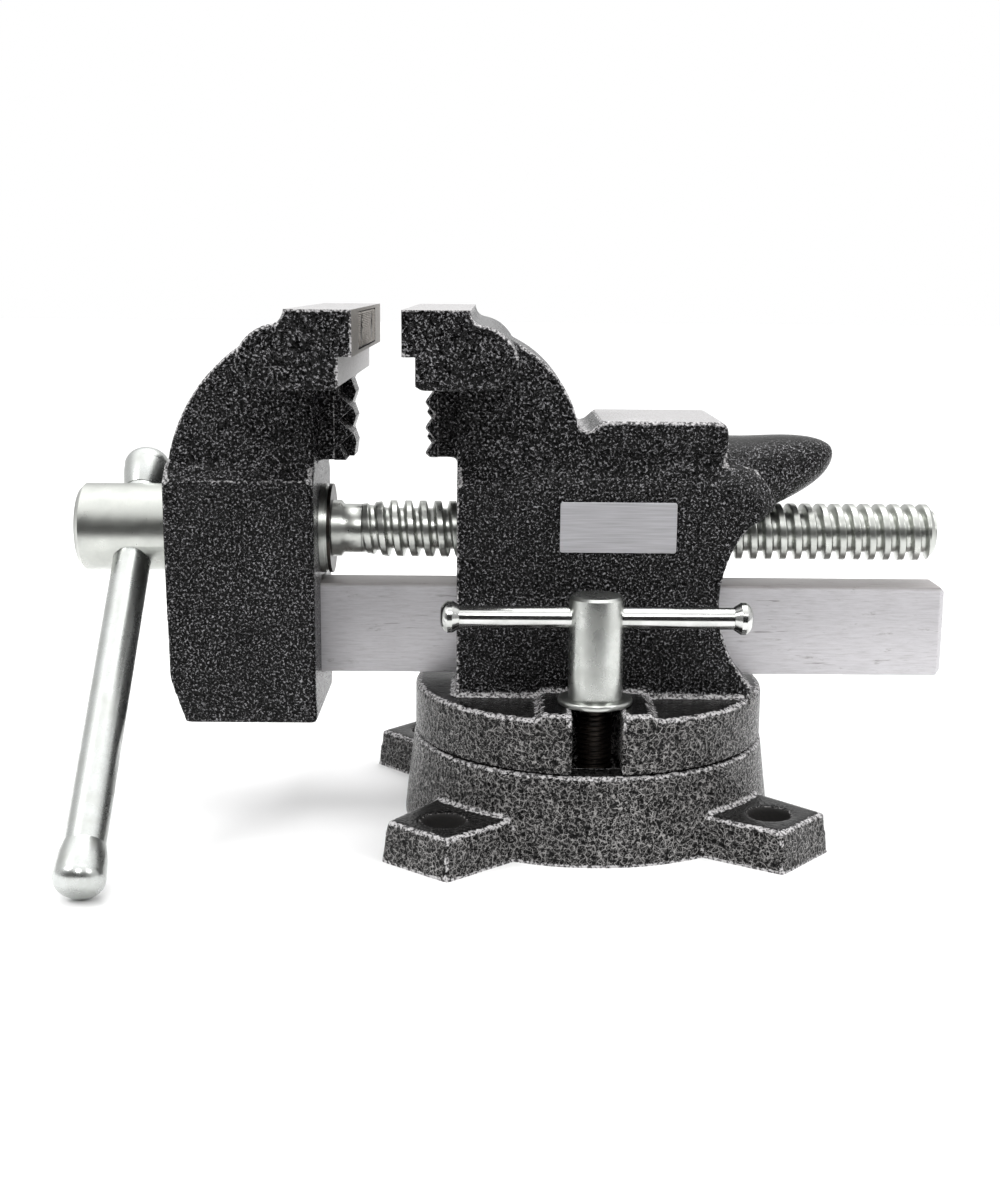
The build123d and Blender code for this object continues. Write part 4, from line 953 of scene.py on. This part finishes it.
# ---------------------------------------------------------------- Studio
# A plain white table top under a white surround, with soft boxes above, in front and to both
# sides. The room is dark behind the camera, so the black enamel keeps its depth.
floor_mesh = bpy.data.meshes.new("floor")
reach = 6.0
near = -0.28
floor_mesh.from_pydata(
    [(-reach, near, 0), (reach, near, 0), (reach, reach, 0), (-reach, reach, 0)],
    [], [(0, 1, 2, 3)])
floor_paint, tree = new_material("white_floor")
matt = put(tree, "ShaderNodeBsdfPrincipled", Roughness=0.9, Base_Color=tone("#f6f6f6"))
put(tree, "ShaderNodeOutputMaterial", Surface=matt)
floor_mesh.materials.append(floor_paint)
floor = link_piece("floor", floor_mesh)
floor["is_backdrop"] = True

world = bpy.data.worlds.new("surround")
bpy.context.scene.world = world
world.use_nodes = True
tree = world.node_tree
tree.nodes.clear()
toward = put(tree, "ShaderNodeTexCoord").outputs["Generated"]
toward_parts = put(tree, "ShaderNodeSeparateXYZ", Vector=toward).outputs
openness = put(tree, "ShaderNodeMapRange", {"interpolation_type": "SMOOTHSTEP"},
               Value=toward_parts["Y"], From_Min=-0.8, From_Max=-0.1, To_Min=0.02,
               To_Max=0.85)
ceiling = put(tree, "ShaderNodeMapRange", {"interpolation_type": "SMOOTHSTEP"},
              Value=toward_parts["Z"], From_Min=0.35, From_Max=0.95, To_Max=1.15)
glowing = put(tree, "ShaderNodeMath", {"operation": "ADD"}, i0=openness, i1=ceiling)
seen = put(tree, "ShaderNodeLightPath").outputs["Is Camera Ray"]
strength = put(tree, "ShaderNodeMix", {"data_type": "FLOAT"}, Factor=seen, A=glowing, B=1.0)
glow = put(tree, "ShaderNodeBackground", Color=(1, 1, 1, 1), Strength=strength)
put(tree, "ShaderNodeOutputWorld", Surface=glow)

for name, spot, size, watts in (
    ("softbox_above", (0.05, 0.15, 1.0), 0.5, 3.0),
    ("softbox_left", (-0.75, -0.45, 0.75), 0.3, 3.0),
    ("softbox_right", (0.75, -0.55, 0.65), 0.3, 2.5),
    ("softbox_front", (0.0, -0.9, 0.75), 0.3, 2.8),
):
    light = bpy.data.lights.new(name, "AREA")
    light.shape = "SQUARE"
    light.size = size
    light.energy = watts
    lamp = bpy.data.objects.new(name, light)
    lamp.location = spot
    aim = Vector((-0.01, 0.0, 0.08)) - Vector(spot)
    lamp.rotation_euler = aim.to_track_quat("-Z", "Y").to_euler()
    bpy.context.scene.collection.objects.link(lamp)
bpy.context.scene.view_settings.view_transform = "Standard"

size = {"cad": [list(v) for v in cad_box], "visual": [list(v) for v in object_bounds()]}
